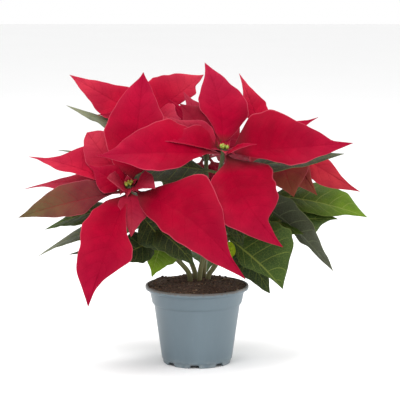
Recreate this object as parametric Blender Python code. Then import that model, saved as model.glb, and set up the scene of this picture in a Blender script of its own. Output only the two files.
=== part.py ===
"""A poinsettia in a plastic nursery pot, standing on the pot's feet.

Metres, +Z up. The origin is the middle of the pot's foot plane, and the plant's front looks along -Y.
Five stems rise from plain holes in the soil. Each carries green leaves and ends in a head of red bracts
with a few yellow-green flower cups at its middle.
"""

import math
import random
from typing import NamedTuple

import bmesh
import bpy
from mathutils import Matrix, Vector

MM = 0.001
SEED = 12
FIT_GAP = 0.3 * MM
WELD = 0.01 * MM
EDGE_ROUND = 0.8 * MM

# The pot is a 12 cm nursery pot: these radii and heights carry its whole outline.
RIM_RADIUS = 60.2 * MM
RIM_HEIGHT = 91.5 * MM
RIM_BAND = 4.6 * MM
LIP_WIDTH = 3.0 * MM
COLLAR_RADIUS = 54.8 * MM
COLLAR_TOP = 83.4 * MM
COLLAR_BOTTOM = 71.0 * MM
COLLAR_TAPER = 2.4 * MM
COLLAR_SLOPE = 1.7 * MM
BODY_TOP_RADIUS = 50.1 * MM
BODY_BOTTOM_RADIUS = 41.0 * MM
FOOT_RADIUS = 39.6 * MM
FOOT_HEIGHT = 6.0 * MM
POT_WALL = 1.2 * MM
FOOT_RING_WIDTH = 3.0 * MM
FLOOR_UNDERSIDE = 4.4 * MM
FLOOR_THICKNESS = 1.5 * MM
POT_SIDES = 36
NOTCH_COUNT = 8
NOTCH_WIDTH = 10 * MM
NOTCH_HEIGHT = 4.1 * MM
NOTCH_DEPTH = 9 * MM
NOTCH_TURN = math.radians(-4)
DRAIN_COUNT = 8
DRAIN_RADIUS = 3 * MM
DRAIN_CIRCLE = 27 * MM
DRAIN_SIDES = 8
CUTTER_OVERLAP = 2 * MM

# The soil fills the pot nearly to its lip and mounds up round the stems.
SOIL_EDGE_HEIGHT = 89.6 * MM
SOIL_MOUND_HEIGHT = 96.0 * MM
SOIL_FLAT_SHARE = 0.5
SOIL_LUMP = 0.8 * MM
SOIL_WALL_GAP = 0.45 * MM
SOIL_EDGE_SPREAD = 0.9 * MM
SOIL_RINGS = (0.9, 0.75, 0.58, 0.42, 0.27, 0.12)

# Stems stand in plain holes, and their leaves and bracts are thin blades.
STEM_RADIUS = 3.0 * MM
STEM_TOP_RADIUS = 2.5 * MM
STEM_SIDES_LEVEL = 2
STEM_FOOT_HEIGHT = 62 * MM
STEM_STRAIGHT_TO = 98 * MM
STEM_STEPS = 3
HOLE_RADIUS = 3.7 * MM
HOLE_SIDES = 12
CORE_RADIUS = 6.5 * MM
CORE_BASE_RADIUS = 4.5 * MM
CORE_HEIGHT = 12 * MM
CORE_SIDES = 8
BRACT_ROOT_HEIGHT = 6 * MM
BRACT_ROOT_OFFSET = 4.0 * MM
BLADE_THICKNESS = 0.8 * MM
PETIOLE_HALF_WIDTH = 1.3 * MM
PETIOLE_THICKNESS = 2.2 * MM
PETIOLE_SHARE = 0.15
TIP_HALF_WIDTH = 0.5 * MM
LEAF_FOLD = 11
EDGE_WAVE = 0.035
WAVE_COUNT = 1.6
LEFT_WAVE_START = 0
RIGHT_WAVE_START = 2

# Each outline pair is a place along the midrib and the share of the full half width there.
BRACT_OUTLINE = (
    (0.0, 0.0), (0.1, 0.0), (0.2, 0.62), (0.35, 1.0), (0.51, 0.93), (0.67, 0.55), (0.83, 0.18), (1.0, 0.0),
)
EARLY_OUTLINE = (
    (0.0, 0.0), (0.06, 0.0), (0.14, 0.74), (0.31, 1.0), (0.48, 0.86), (0.66, 0.54), (0.84, 0.18), (1.0, 0.0),
)
LATE_OUTLINE = (
    (0.0, 0.0), (0.1, 0.0), (0.2, 0.52), (0.36, 0.84), (0.53, 1.0), (0.69, 0.76), (0.85, 0.26), (1.0, 0.0),
)
LEAF_OUTLINE = (
    (0.0, 0.0), (0.2, 0.0), (0.3, 0.6), (0.43, 0.98), (0.57, 0.96), (0.72, 0.66), (0.87, 0.28), (1.0, 0.0),
)
LOBED_OUTLINE = (
    (0.0, 0.0), (0.2, 0.0), (0.3, 0.55), (0.45, 1.0), (0.55, 0.68), (0.68, 0.8), (0.8, 0.28), (1.0, 0.0),
)
BLADE_COLUMNS = (-1.0, -0.5, 0.0, 0.5, 1.0)

CUP_COUNT = 5
CUP_RADIUS = 2.2 * MM
CUP_STRETCH = 1.35
CUP_RISE = 2.0 * MM
MIDDLE_CUP_RISE = 3.0 * MM
CUP_SEGMENTS = 6
CUP_RINGS = 3
CUP_RING_RADIUS = 3.2 * MM
CUP_BASE_RADIUS = 4.0 * MM
CUP_BASE_THICKNESS = 1.6 * MM


class Blade(NamedTuple):
    """One leaf or bract.

    Its tip, width, midrib bow and sideways sway are in mm, face is where its upper side looks, and fold is
    the angle in degrees at which its halves rise from the midrib.
    """

    tip: tuple
    width: float
    bow: float
    face: tuple
    fold: float = 9
    outline: tuple = BRACT_OUTLINE
    sway: float = 0


class Leaf(NamedTuple):
    """A green leaf: the stem node that it grows from, counted up from 0 at the soil, and its blade."""

    node: int
    blade: Blade


class Branch(NamedTuple):
    """One stem with its foot in the soil, its nodes and the middle of its head, all in mm."""

    foot: tuple
    nodes: tuple
    hub: tuple
    bracts: tuple
    leaves: tuple


def leaf(node, tip, width, bow, face, outline=LEAF_OUTLINE):
    return Leaf(node, Blade(tip, width, bow, face, LEAF_FOLD, outline))


BRANCHES = {
    "front_right": Branch(
        foot=(3, -2),
        nodes=((8, -4, 127), (15, -8, 159), (21, -12, 193), (26, -16, 224)),
        hub=(29, -18, 241),
        bracts=(
            Blade((9, 45, 346), 72, 4, (0.25, -1.0, 0.3), 12, BRACT_OUTLINE, 7),
            Blade((175, -60, 264), 82, 2, (0.0, -0.7, 0.7), 24, EARLY_OUTLINE),
            Blade((96, -84, 150), 78, 6, (0.3, -0.85, 0.4), 12, LATE_OUTLINE, 12),
            Blade((-112, -85, 253), 80, 4, (0.0, -0.7, 0.7), 24, LATE_OUTLINE),
            Blade((-46, -45, 266), 44, 5, (0.0, -0.5, 0.85), 28),
            Blade((-20, 25, 300), 30, 4, (0.2, -0.85, 0.5)),
            Blade((-34, -6, 288), 40, 4, (0.0, -0.85, 0.5)),
            Blade((67, -62, 263), 16, 4, (0.0, -0.6, 0.8)),
        ),
        leaves=(
            leaf(3, (-82, -30, 231), 50, 8, (0.0, -0.6, 0.8)),
            leaf(1, (98, -42, 94), 82, 16, (0.25, -0.9, 0.35)),
            leaf(2, (52, -50, 144), 36, 8, (0.3, -0.7, 0.6)),
            leaf(3, (169, -12, 246), 36, 3, (0.0, -0.5, 0.85)),
        ),
    ),
    "front_left": Branch(
        foot=(-8, 0),
        nodes=((-22, -8, 122), (-40, -21, 147), (-58, -35, 168), (-70, -46, 188)),
        hub=(-74, -50, 204),
        bracts=(
            Blade((-62, 20, 337), 74, 4, (0.0, -1.0, 0.35), 12, LATE_OUTLINE),
            Blade((-194, 0, 241), 64, 9, (0.0, -0.6, 0.8), 20),
            Blade((-202, 30, 199), 40, 10, (0.0, -0.4, 0.9)),
            Blade((-202, -50, 178), 54, 6, (0.0, -0.82, 0.57), 18, LATE_OUTLINE),
            Blade((54, -115, 119), 90, 25, (0.22, -0.88, 0.42), 12, BRACT_OUTLINE, -6),
            Blade((-119, -132, 92), 70, 22, (-0.15, -0.9, 0.35), 12, LATE_OUTLINE, -4),
            Blade((-73, -92, 163), 30, 8, (0.2, -0.85, 0.5)),
            Blade((-46, -86, 216), 28, 5, (0.1, -0.75, 0.6)),
            Blade((-100, -82, 228), 20, 2, (0.0, -0.6, 0.8)),
            Blade((-126, -8, 270), 50, 2, (0.0, -0.85, 0.5), 9, LATE_OUTLINE),
            Blade((-123, -36, 236), 40, 3, (0.0, -0.8, 0.6)),
        ),
        leaves=(
            leaf(2, (-3, -62, 125), 46, 10, (0.3, -0.8, 0.6)),
            leaf(1, (-98, -60, 128), 40, 10, (-0.1, -0.9, 0.4)),
            leaf(1, (-52, -22, 104), 40, 4, (-0.2, -0.9, 0.3)),
            leaf(3, (-176, 0, 156), 40, 8, (0.0, -0.5, 0.85)),
            leaf(2, (-186, 20, 121), 36, 12, (0.0, -0.4, 0.9)),
            leaf(0, (-150, 20, 123), 34, 12, (0.0, -0.3, 1.0)),
        ),
    ),
    "back_left": Branch(
        foot=(-2, 11),
        nodes=((-11, 20, 124), (-24, 32, 160), (-38, 44, 205), (-52, 56, 248)),
        hub=(-57, 60, 274),
        bracts=(
            Blade((-152, 90, 328), 46, 0, (0.0, -0.85, 0.5)),
            Blade((-117, 44, 285), 26, 2, (0.0, -0.6, 0.8)),
            Blade((8, 106, 327), 66, 2, (0.0, -0.95, 0.35), 9, EARLY_OUTLINE),
            Blade((-100, 132, 262), 44, 10, (-0.2, 0.4, 0.9)),
            Blade((-34, 133, 258), 44, 10, (0.0, 0.5, 0.85)),
            Blade((-18, 22, 282), 44, 4, (0.1, -0.8, 0.6)),
        ),
        leaves=(
            leaf(3, (-155, 74, 293), 26, 3, (0.0, -0.5, 0.85)),
            leaf(2, (-167, 96, 237), 42, 8, (0.0, 0.1, 1.0)),
            leaf(1, (-128, 118, 192), 46, 10, (-0.3, 0.5, 0.8)),
        ),
    ),
    "back_right": Branch(
        foot=(13, 4),
        nodes=((22, 9, 114), (40, 24, 151), (58, 40, 192), (72, 53, 234)),
        hub=(78, 58, 258),
        bracts=(
            Blade((50, 86, 330), 38, 3, (0.25, -1.0, 0.3)),
            Blade((145, 92, 277), 24, -3, (0.0, -0.6, 0.8)),
            Blade((191, 30, 196), 50, 6, (0.25, -0.75, 0.6), 9, LATE_OUTLINE, 6),
            Blade((111, -18, 197), 56, 8, (0.1, -0.85, 0.5), 9, LATE_OUTLINE),
            Blade((139, 2, 196), 44, 8, (0.25, -0.8, 0.5)),
            Blade((122, 130, 240), 44, 12, (0.2, 0.5, 0.85)),
        ),
        leaves=(
            leaf(2, (202, 52, 162), 62, 10, (0.1, -0.65, 0.75)),
            leaf(1, (166, 32, 163), 54, 8, (0.0, -0.6, 0.8), LOBED_OUTLINE),
            leaf(2, (156, -32, 113), 56, 10, (0.6, 0.7, 0.4)),
            leaf(1, (85, -2, 81), 42, 5, (0.1, -0.85, 0.5)),
            leaf(1, (150, 112, 175), 46, 14, (0.3, 0.4, 0.85)),
            leaf(0, (48, 14, 142), 22, 2, (-0.4, -0.9, 0.1)),
        ),
    ),
    "back": Branch(
        foot=(8, 15),
        nodes=((10, 28, 122), (11, 52, 151), (11, 78, 179), (11, 95, 204)),
        hub=(11, 99, 222),
        bracts=(
            Blade((56, 124, 282), 50, 4, (0.2, 0.9, 0.4)),
            Blade((-72, 116, 218), 54, 12, (-0.2, 0.6, 0.8)),
            Blade((90, 118, 208), 54, 12, (0.2, 0.6, 0.8)),
            Blade((-20, 122, 144), 58, 12, (-0.1, 0.9, 0.4)),
            Blade((46, 122, 153), 50, 12, (0.2, 0.9, 0.4)),
        ),
        leaves=(
            leaf(2, (-98, 108, 128), 46, 10, (-0.3, 0.5, 0.8)),
            leaf(1, (-50, 122, 100), 46, 14, (-0.2, 0.8, 0.5)),
            leaf(1, (75, 122, 105), 46, 14, (0.3, 0.8, 0.5)),
            leaf(0, (12, 112, 84), 42, 14, (0.0, 0.8, 0.6)),
        ),
    ),
}


def clear_scene():
    for thing in list(bpy.data.objects):
        bpy.data.objects.remove(thing, do_unlink=True)


def make_material(name, colour, roughness, metallic=0.0):
    material = bpy.data.materials.new(name)
    material.use_nodes = True
    shader = material.node_tree.nodes["Principled BSDF"]
    shader.inputs["Base Color"].default_value = (*colour, 1.0)
    shader.inputs["Roughness"].default_value = roughness
    shader.inputs["Metallic"].default_value = metallic
    material.diffuse_color = (*colour, 1.0)
    return material


def add_object(name, mesh, material=None):
    thing = bpy.data.objects.new(name, mesh)
    bpy.context.scene.collection.objects.link(thing)
    if material:
        mesh.materials.clear()
        mesh.materials.append(material)
    return thing


def mesh_from(name, bm):
    """Turns a closed bmesh into a mesh whose faces point outwards."""
    bmesh.ops.recalc_face_normals(bm, faces=bm.faces)
    mesh = bpy.data.meshes.new(name)
    bm.to_mesh(mesh)
    bm.free()
    return mesh


def apply_modifiers(thing):
    """Replaces an object's mesh by what its modifiers make of it."""
    bpy.context.view_layer.update()
    graph = bpy.context.evaluated_depsgraph_get()
    finished = bpy.data.meshes.new_from_object(thing.evaluated_get(graph))
    thing.modifiers.clear()
    thing.data = finished
    return thing


def combine(thing, others, operation):
    """Joins or cuts an object with a collection of others in one Boolean, and removes them."""
    group = bpy.data.collections.new(thing.name + "_" + operation.lower())
    bpy.context.scene.collection.children.link(group)
    for other in others:
        bpy.context.scene.collection.objects.unlink(other)
        group.objects.link(other)
    modifier = thing.modifiers.new(operation.title(), "BOOLEAN")
    modifier.operation = operation
    modifier.operand_type = "COLLECTION"
    modifier.collection = group
    modifier.solver = "EXACT"
    apply_modifiers(thing)
    for other in others:
        bpy.data.objects.remove(other, do_unlink=True)
    bpy.data.collections.remove(group)
    return thing


def turned(name, profile, material, sides=POT_SIDES):
    """Spins a profile of (radius, height) pairs, which starts and ends on the axis, into a closed body."""
    bm = bmesh.new()
    points = [bm.verts.new((radius, 0, height)) for radius, height in profile]
    edges = [bm.edges.new(pair) for pair in zip(points, points[1:])]
    shape = points + edges
    bmesh.ops.spin(bm, geom=shape, cent=(0, 0, 0), axis=(0, 0, 1), angle=math.tau, steps=sides, use_merge=True)
    bmesh.ops.remove_doubles(bm, verts=bm.verts, dist=WELD)
    return add_object(name, mesh_from(name, bm), material)


def cylinder(name, radius, low, high, centre, sides):
    bm = bmesh.new()
    place = Matrix.Translation((centre[0], centre[1], (low + high) / 2))
    bmesh.ops.create_cone(
        bm, cap_ends=True, segments=sides, radius1=radius, radius2=radius, depth=high - low, matrix=place
    )
    return add_object(name, mesh_from(name, bm))


def around(radius, angle):
    """A point on a circle round the pot, with the angle counted from the front."""
    return Vector((radius * math.sin(angle), -radius * math.cos(angle), 0))


def notch_cutter(angle):
    bm = bmesh.new()
    size = Matrix.Diagonal((NOTCH_WIDTH, NOTCH_DEPTH, 2 * NOTCH_HEIGHT, 1))
    place = Matrix.Translation(around(FOOT_RADIUS, angle)) @ Matrix.Rotation(angle, 4, "Z")
    bmesh.ops.create_cube(bm, size=1, matrix=place @ size)
    return add_object("notch", mesh_from("notch", bm))


def inner_wall():
    """The (radius, height) pairs of the pot's inside, from its mouth down to its floor."""
    return [
        (RIM_RADIUS - LIP_WIDTH, RIM_HEIGHT - POT_WALL),
        (COLLAR_RADIUS - POT_WALL, COLLAR_TOP),
        (BODY_TOP_RADIUS + POT_WALL, COLLAR_BOTTOM + POT_WALL),
        (BODY_TOP_RADIUS - POT_WALL, COLLAR_BOTTOM - COLLAR_SLOPE),
        (BODY_BOTTOM_RADIUS - POT_WALL, FLOOR_UNDERSIDE + FLOOR_THICKNESS + POT_WALL),
        (BODY_BOTTOM_RADIUS - 2 * POT_WALL, FLOOR_UNDERSIDE + FLOOR_THICKNESS),
    ]


def make_pot():
    plastic = make_material("pot_plastic", (0.19, 0.25, 0.29), 0.42)
    underside = [(0, FLOOR_UNDERSIDE), (FOOT_RADIUS - FOOT_RING_WIDTH, FLOOR_UNDERSIDE)]
    foot = [
        (FOOT_RADIUS - FOOT_RING_WIDTH, 0),
        (FOOT_RADIUS - EDGE_ROUND, 0),
        (FOOT_RADIUS, EDGE_ROUND),
        (FOOT_RADIUS + EDGE_ROUND / 2, FOOT_HEIGHT - EDGE_ROUND),
        (BODY_BOTTOM_RADIUS, FOOT_HEIGHT),
    ]
    body = [
        (BODY_TOP_RADIUS, COLLAR_BOTTOM - COLLAR_SLOPE),
        (COLLAR_RADIUS - COLLAR_TAPER, COLLAR_BOTTOM),
        (COLLAR_RADIUS, COLLAR_TOP),
    ]
    lip = [
        (COLLAR_RADIUS + COLLAR_SLOPE, COLLAR_TOP + COLLAR_SLOPE),
        (RIM_RADIUS - EDGE_ROUND, RIM_HEIGHT - RIM_BAND),
        (RIM_RADIUS, RIM_HEIGHT - RIM_BAND + EDGE_ROUND),
        (RIM_RADIUS, RIM_HEIGHT - EDGE_ROUND),
        (RIM_RADIUS - EDGE_ROUND, RIM_HEIGHT),
        (RIM_RADIUS - LIP_WIDTH + EDGE_ROUND, RIM_HEIGHT),
    ]
    floor_top = [(0, FLOOR_UNDERSIDE + FLOOR_THICKNESS)]
    pot = turned("pot", underside + foot + body + lip + inner_wall() + floor_top, plastic)
    cutters = [notch_cutter(NOTCH_TURN + math.tau * i / NOTCH_COUNT) for i in range(NOTCH_COUNT)]
    for i in range(DRAIN_COUNT):
        centre = around(DRAIN_CIRCLE, math.tau * (i + 0.5) / DRAIN_COUNT)
        low, high = FLOOR_UNDERSIDE - CUTTER_OVERLAP, FLOOR_UNDERSIDE + FLOOR_THICKNESS + CUTTER_OVERLAP
        cutters.append(cylinder("drain", DRAIN_RADIUS, low, high, centre, DRAIN_SIDES))
    return combine(pot, cutters, "DIFFERENCE")


def soil_height(share):
    """The mounded height of the soil at a share of its radius."""
    fall = min(1, max(0, (share - SOIL_FLAT_SHARE) / (1 - SOIL_FLAT_SHARE)))
    smooth = fall * fall * (3 - 2 * fall)
    return SOIL_MOUND_HEIGHT + (SOIL_EDGE_HEIGHT - SOIL_MOUND_HEIGHT) * smooth


def make_soil():
    peat = make_material("peat", (0.035, 0.022, 0.016), 0.95)
    wall = [(radius - SOIL_WALL_GAP, height) for radius, height in reversed(inner_wall()[1:])]
    edge_radius = COLLAR_RADIUS + SOIL_EDGE_SPREAD
    floor_height = FLOOR_UNDERSIDE + FLOOR_THICKNESS + FIT_GAP
    side = [(0, floor_height), (wall[0][0], floor_height)] + wall[1:] + [(edge_radius, SOIL_EDGE_HEIGHT)]
    top = [(edge_radius * share, soil_height(share)) for share in SOIL_RINGS] + [(0, SOIL_MOUND_HEIGHT)]
    soil = turned("soil", side + top, peat)
    draw = random.Random(SEED)
    for vertex in soil.data.vertices:
        if vertex.co.z > SOIL_EDGE_HEIGHT + WELD:
            vertex.co.z += draw.uniform(-SOIL_LUMP, SOIL_LUMP)
    holes = []
    for branch in BRANCHES.values():
        centre = Vector(branch.foot) * MM
        low, high = STEM_FOOT_HEIGHT - FIT_GAP, SOIL_MOUND_HEIGHT + CUTTER_OVERLAP
        holes.append(cylinder("hole", HOLE_RADIUS, low, high, centre, HOLE_SIDES))
    return combine(soil, holes, "DIFFERENCE")


def curve_between(a, b, start, end, share):
    """A point on the smooth curve from a to b that leaves a along start and reaches b along end."""
    s2, s3 = share * share, share**3
    return a * (2 * s3 - 3 * s2 + 1) + start * (s3 - 2 * s2 + share) + b * (3 * s2 - 2 * s3) + end * (s3 - s2)


def stem_points(branch):
    """The stem's middle line: straight up out of the soil, then one smooth curve through its nodes."""
    foot = Vector((branch.foot[0] * MM, branch.foot[1] * MM, STEM_STRAIGHT_TO))
    knots = [foot] + [Vector(node) * MM for node in branch.nodes] + [Vector(branch.hub) * MM]
    slopes = [Vector((0, 0, (knots[1] - knots[0]).length))]
    slopes += [(after - before) / 2 for before, after in zip(knots, knots[2:])]
    slopes.append(knots[-1] - knots[-2])
    points = [Vector((foot.x, foot.y, STEM_FOOT_HEIGHT)), foot]
    for i in range(len(knots) - 1):
        for step in range(1, STEM_STEPS + 1):
            points.append(curve_between(knots[i], knots[i + 1], slopes[i], slopes[i + 1], step / STEM_STEPS))
    return points


def head_axis(branch):
    return (Vector(branch.hub) - Vector(branch.nodes[-1])).normalized()


def make_stem(name, branch, material):
    curve = bpy.data.curves.new(name, "CURVE")
    curve.dimensions = "3D"
    curve.bevel_depth = 1.0
    curve.bevel_resolution = STEM_SIDES_LEVEL
    curve.use_fill_caps = True
    points = stem_points(branch)
    points[-1] -= head_axis(branch) * FIT_GAP
    spline = curve.splines.new("POLY")
    spline.points.add(len(points) - 1)
    for i, point in enumerate(points):
        spline.points[i].co = (*point, 1)
        share = i / (len(points) - 1)
        spline.points[i].radius = STEM_RADIUS + (STEM_TOP_RADIUS - STEM_RADIUS) * share
    stem = add_object(name, curve)
    bpy.context.view_layer.update()
    mesh = bpy.data.meshes.new_from_object(stem.evaluated_get(bpy.context.evaluated_depsgraph_get()))
    bpy.data.objects.remove(stem, do_unlink=True)
    bm = bmesh.new()
    bm.from_mesh(mesh)
    bmesh.ops.remove_doubles(bm, verts=bm.verts, dist=WELD)
    return add_object(name, mesh_from(name, bm), material)


def blade_section(root, tip, blade, place, share):
    """The upper and lower points across a blade at one place along its midrib."""
    face = Vector(blade.face).normalized()
    chord = (tip - root).normalized()
    lift = (face - chord * face.dot(chord)).normalized()
    control = (root + tip) / 2 + (lift * blade.bow + chord.cross(lift) * blade.sway) * (2 * MM)
    middle = root * (1 - place) ** 2 + control * (2 * place * (1 - place)) + tip * place**2
    along = ((control - root) * (1 - place) + (tip - control) * place).normalized()
    normal = (face - along * face.dot(along)).normalized()
    side = along.cross(normal)
    narrow = TIP_HALF_WIDTH if place == 1 else PETIOLE_HALF_WIDTH
    half = max(narrow, share * blade.width * MM / 2)
    thickness = PETIOLE_THICKNESS if place < PETIOLE_SHARE else BLADE_THICKNESS
    rise = math.tan(math.radians(blade.fold))
    upper, lower = [], []
    for column in BLADE_COLUMNS:
        turn = math.tau * WAVE_COUNT * place + (LEFT_WAVE_START if column < 0 else RIGHT_WAVE_START)
        wave = EDGE_WAVE * blade.width * MM * share * column**2 * math.sin(turn)
        height = abs(column) * half * share * rise + wave
        point = middle + side * (column * half) + normal * height
        upper.append(point + normal * (thickness / 2))
        lower.append(point - normal * (thickness / 2))
    return upper, lower


def make_blade(name, root, blade):
    """A thin closed blade from root to tip, with both faces split into triangles alike."""
    bm = bmesh.new()
    tip = Vector(blade.tip) * MM
    rows = []
    for place, share in blade.outline:
        upper, lower = blade_section(root, tip, blade, place, share)
        rows.append(([bm.verts.new(p) for p in upper], [bm.verts.new(p) for p in lower]))
    last = len(BLADE_COLUMNS) - 1
    for (upper, lower), (next_upper, next_lower) in zip(rows, rows[1:]):
        for i in range(last):
            for here, there in ((upper, next_upper), (lower, next_lower)):
                bm.faces.new((here[i], there[i], there[i + 1]))
                bm.faces.new((here[i], there[i + 1], here[i + 1]))
        for i in (0, last):
            bm.faces.new((upper[i], next_upper[i], next_lower[i]))
            bm.faces.new((upper[i], next_lower[i], lower[i]))
    for upper, lower in (rows[0], rows[-1]):
        bm.faces.new(upper + lower[::-1])
    return add_object(name, mesh_from(name, bm))


def bract_root(branch, tip):
    """Where a bract leaves its head's core, on the side that its tip lies on."""
    axis = head_axis(branch)
    hub = Vector(branch.hub) * MM + axis * BRACT_ROOT_HEIGHT
    out = Vector(tip) * MM - hub
    out = (out - axis * out.dot(axis)).normalized()
    return hub + out * BRACT_ROOT_OFFSET


def make_core(name, branch, material):
    bm = bmesh.new()
    axis = head_axis(branch)
    turn = axis.to_track_quat("Z", "Y").to_matrix().to_4x4()
    place = Matrix.Translation(Vector(branch.hub) * MM + axis * (CORE_HEIGHT / 2))
    bmesh.ops.create_cone(
        bm,
        cap_ends=True,
        segments=CORE_SIDES,
        radius1=CORE_BASE_RADIUS,
        radius2=CORE_RADIUS,
        depth=CORE_HEIGHT,
        matrix=place @ turn,
    )
    return add_object(name, mesh_from(name, bm), material)


def make_cups(name, branch, material):
    """The flower cups at a head's middle, on one small disc that rests on the core."""
    axis = head_axis(branch)
    turn = axis.to_track_quat("Z", "Y").to_matrix().to_4x4()
    base = Vector(branch.hub) * MM + axis * (CORE_HEIGHT + FIT_GAP)
    bm = bmesh.new()
    bmesh.ops.create_cone(
        bm,
        cap_ends=True,
        segments=CORE_SIDES,
        radius1=CUP_BASE_RADIUS,
        radius2=CUP_BASE_RADIUS,
        depth=CUP_BASE_THICKNESS,
        matrix=Matrix.Translation(base + axis * (CUP_BASE_THICKNESS / 2)) @ turn,
    )
    disc = add_object(name, mesh_from(name, bm), material)
    cups = []
    for i in range(CUP_COUNT):
        out = Vector((0, 0, 0)) if i == 0 else around(CUP_RING_RADIUS, math.tau * i / (CUP_COUNT - 1))
        rise = CUP_BASE_THICKNESS + (MIDDLE_CUP_RISE if i == 0 else CUP_RISE)
        bm = bmesh.new()
        stretch = Matrix.Diagonal((1, 1, CUP_STRETCH, 1))
        place = Matrix.Translation(base + axis * rise) @ turn @ Matrix.Translation(out) @ stretch
        bmesh.ops.create_uvsphere(
            bm, u_segments=CUP_SEGMENTS, v_segments=CUP_RINGS, radius=CUP_RADIUS, matrix=place
        )
        cups.append(add_object("cup", mesh_from("cup", bm)))
    return combine(disc, cups, "UNION")


def make_branch(name, branch, materials):
    green, red, lime = materials
    stem = make_stem("stem_" + name, branch, green)
    blades = []
    for node, blade in branch.leaves:
        root = Vector(branch.nodes[node]) * MM
        blades.append(make_blade("leaf", root, blade))
    combine(stem, blades, "UNION")
    head = make_core("bracts_" + name, branch, red)
    blades = [make_blade("bract", bract_root(branch, blade.tip), blade) for blade in branch.bracts]
    combine(head, blades, "UNION")
    make_cups("cyathia_" + name, branch, lime)


def main():
    clear_scene()
    make_pot()
    make_soil()
    green = make_material("leaf_green", (0.035, 0.095, 0.02), 0.5)
    red = make_material("bract_red", (0.5, 0.0, 0.02), 0.6)
    lime = make_material("cyathium_green", (0.35, 0.42, 0.04), 0.5)
    for name, branch in BRANCHES.items():
        make_branch(name, branch, (green, red, lime))


if __name__ == "__main__":
    main()
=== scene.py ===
"""A poinsettia in a plastic nursery pot, dressed over its packed solids.

Each leaf and bract starts as a grid that is bent to its own midrib, each stem is a bevelled curve, and the
pot is drawn ring by ring as on a lathe. Metres, +Z up, and the plant's front looks along -Y.
"""

import math
import random
from typing import NamedTuple

import bpy
import numpy as np
from bpy.props import BoolProperty, FloatProperty, FloatVectorProperty, IntProperty, PointerProperty
from mathutils import Matrix, Vector, noise


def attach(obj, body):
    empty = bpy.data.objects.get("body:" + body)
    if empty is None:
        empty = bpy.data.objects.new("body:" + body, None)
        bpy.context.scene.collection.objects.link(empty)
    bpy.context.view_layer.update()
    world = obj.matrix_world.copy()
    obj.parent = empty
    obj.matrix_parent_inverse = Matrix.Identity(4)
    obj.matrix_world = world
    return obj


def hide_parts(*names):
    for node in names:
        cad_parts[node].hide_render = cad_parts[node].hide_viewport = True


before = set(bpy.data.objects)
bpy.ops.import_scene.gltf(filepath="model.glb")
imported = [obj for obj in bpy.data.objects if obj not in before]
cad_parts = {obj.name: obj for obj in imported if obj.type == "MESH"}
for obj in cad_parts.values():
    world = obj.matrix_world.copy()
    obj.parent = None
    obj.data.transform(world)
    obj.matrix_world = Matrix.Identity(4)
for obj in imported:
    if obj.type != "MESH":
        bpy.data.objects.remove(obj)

bl_info = {
    "name": "Potted poinsettia",
    "version": (1, 0, 0),
    "blender": (4, 5, 0),
    "location": "3D View > Sidebar > Poinsettia",
    "description": "Dresses the packed solids of a potted poinsettia",
    "category": "Add Mesh",
}

MM = 0.001
TURN = math.tau

PLANT_MIDDLE = Vector((0, 0, 0.18))
PICTURE_MIDDLE = Vector((0.0035, 0.0, 0.1907))
SENSOR_WIDTH = 36

# The pot's outside from the foot up, and its inside from the mouth down: (radius, height) in mm.
POT_OUTSIDE = (
    (36.6, 4.4), (36.6, 0.5), (37.0, 0.0), (38.9, 0.0), (39.5, 0.5), (39.9, 4.6), (40.2, 5.2), (41.0, 5.6),
    (41.1, 6.4), (45.6, 38.0), (50.0, 68.6), (50.4, 69.6), (51.6, 70.3), (52.3, 71.3), (54.7, 82.6),
    (55.3, 84.2), (56.6, 85.4), (58.9, 86.6), (59.9, 87.2), (60.2, 88.0), (60.2, 90.4), (59.8, 91.2),
    (59.0, 91.5),
)
POT_INSIDE = (
    (58.0, 91.4), (57.4, 90.8), (57.2, 90.0), (54.2, 84.0), (53.6, 83.2), (51.3, 72.2), (49.0, 69.2),
    (39.9, 7.2), (38.6, 5.9),
)
NOTCHES = 8
NOTCH_TURN = math.radians(-4)
NOTCH_CIRCLE = 39 * MM
NOTCH_SIZE = (17 * MM, 10 * MM, 8 * MM)
DRAIN_HOLES = 8
DRAIN_CIRCLE = 27 * MM
DRAIN_RADIUS = 3 * MM

# The soil's side along the pot's wall, from its foot up to below its top edge: (radius, height) in mm.
SOIL_SIDE = ((36.5, 6.3), (38.0, 7.2), (48.5, 68.8), (50.8, 72.4), (53.1, 83.3))
SOIL_RADIUS = 56.9
SOIL_RINGS = 44
CLUMP_X, CLUMP_Y, CLUMP_WIDTH, CLUMP_HEIGHT = -43 * MM, 31 * MM, 7 * MM, 3.2 * MM
CRUMB_REACH = 58.4 * MM

# A stem's lowest point and where it leaves the soil, as heights, and its reach past its head's hub.
STEM_FOOT = 62.5 * MM
STEM_OUT_OF_SOIL = 98 * MM
STEM_END = 2.5 * MM
STEM_RADIUS, STEM_TAPER, NODE_SWELL = 3.0, 0.5, 0.16

# A head's parts, in mm up along its stem's last stretch from its hub, and out from that line.
BRACT_RISE, BRACT_OFFSET = 6, 4
YOUNG_BRACTS, YOUNG_RISE, YOUNG_OFFSET = 7, 9.5, 3
GOLDEN_ANGLE = 2.4
CORE_RISE, CORE_RADIUS, CORE_LENGTH = 6, 3.4, 11.6
CUP_RISE, CUP_RING = 12.4, 3.3
CUPS, CUP_RADIUS, CUP_STRETCH, CUP_MIDDLE, CUP_MOUTH = 6, 1.9 * MM, 1.32, 2.6 * MM, 4.55 * MM

# How far each side vein falls back from the midrib at the edge, and how much it bends on its way.
VEIN_SLANT, VEIN_BEND = 0.16, 1.25
# The share of a blade's length over which its outline's corners and its heights are rounded.
EDGE_WINDOW, HEIGHT_WINDOW = 0.035, 0.12


def half(*hundredths):
    """One half's outline: places along the midrib with their shares of the half width, pointed at each end."""
    numbers = [value / 100 for value in hundredths]
    return ((0, 0), *zip(numbers[::2], numbers[1::2]), (1, 0))


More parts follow.
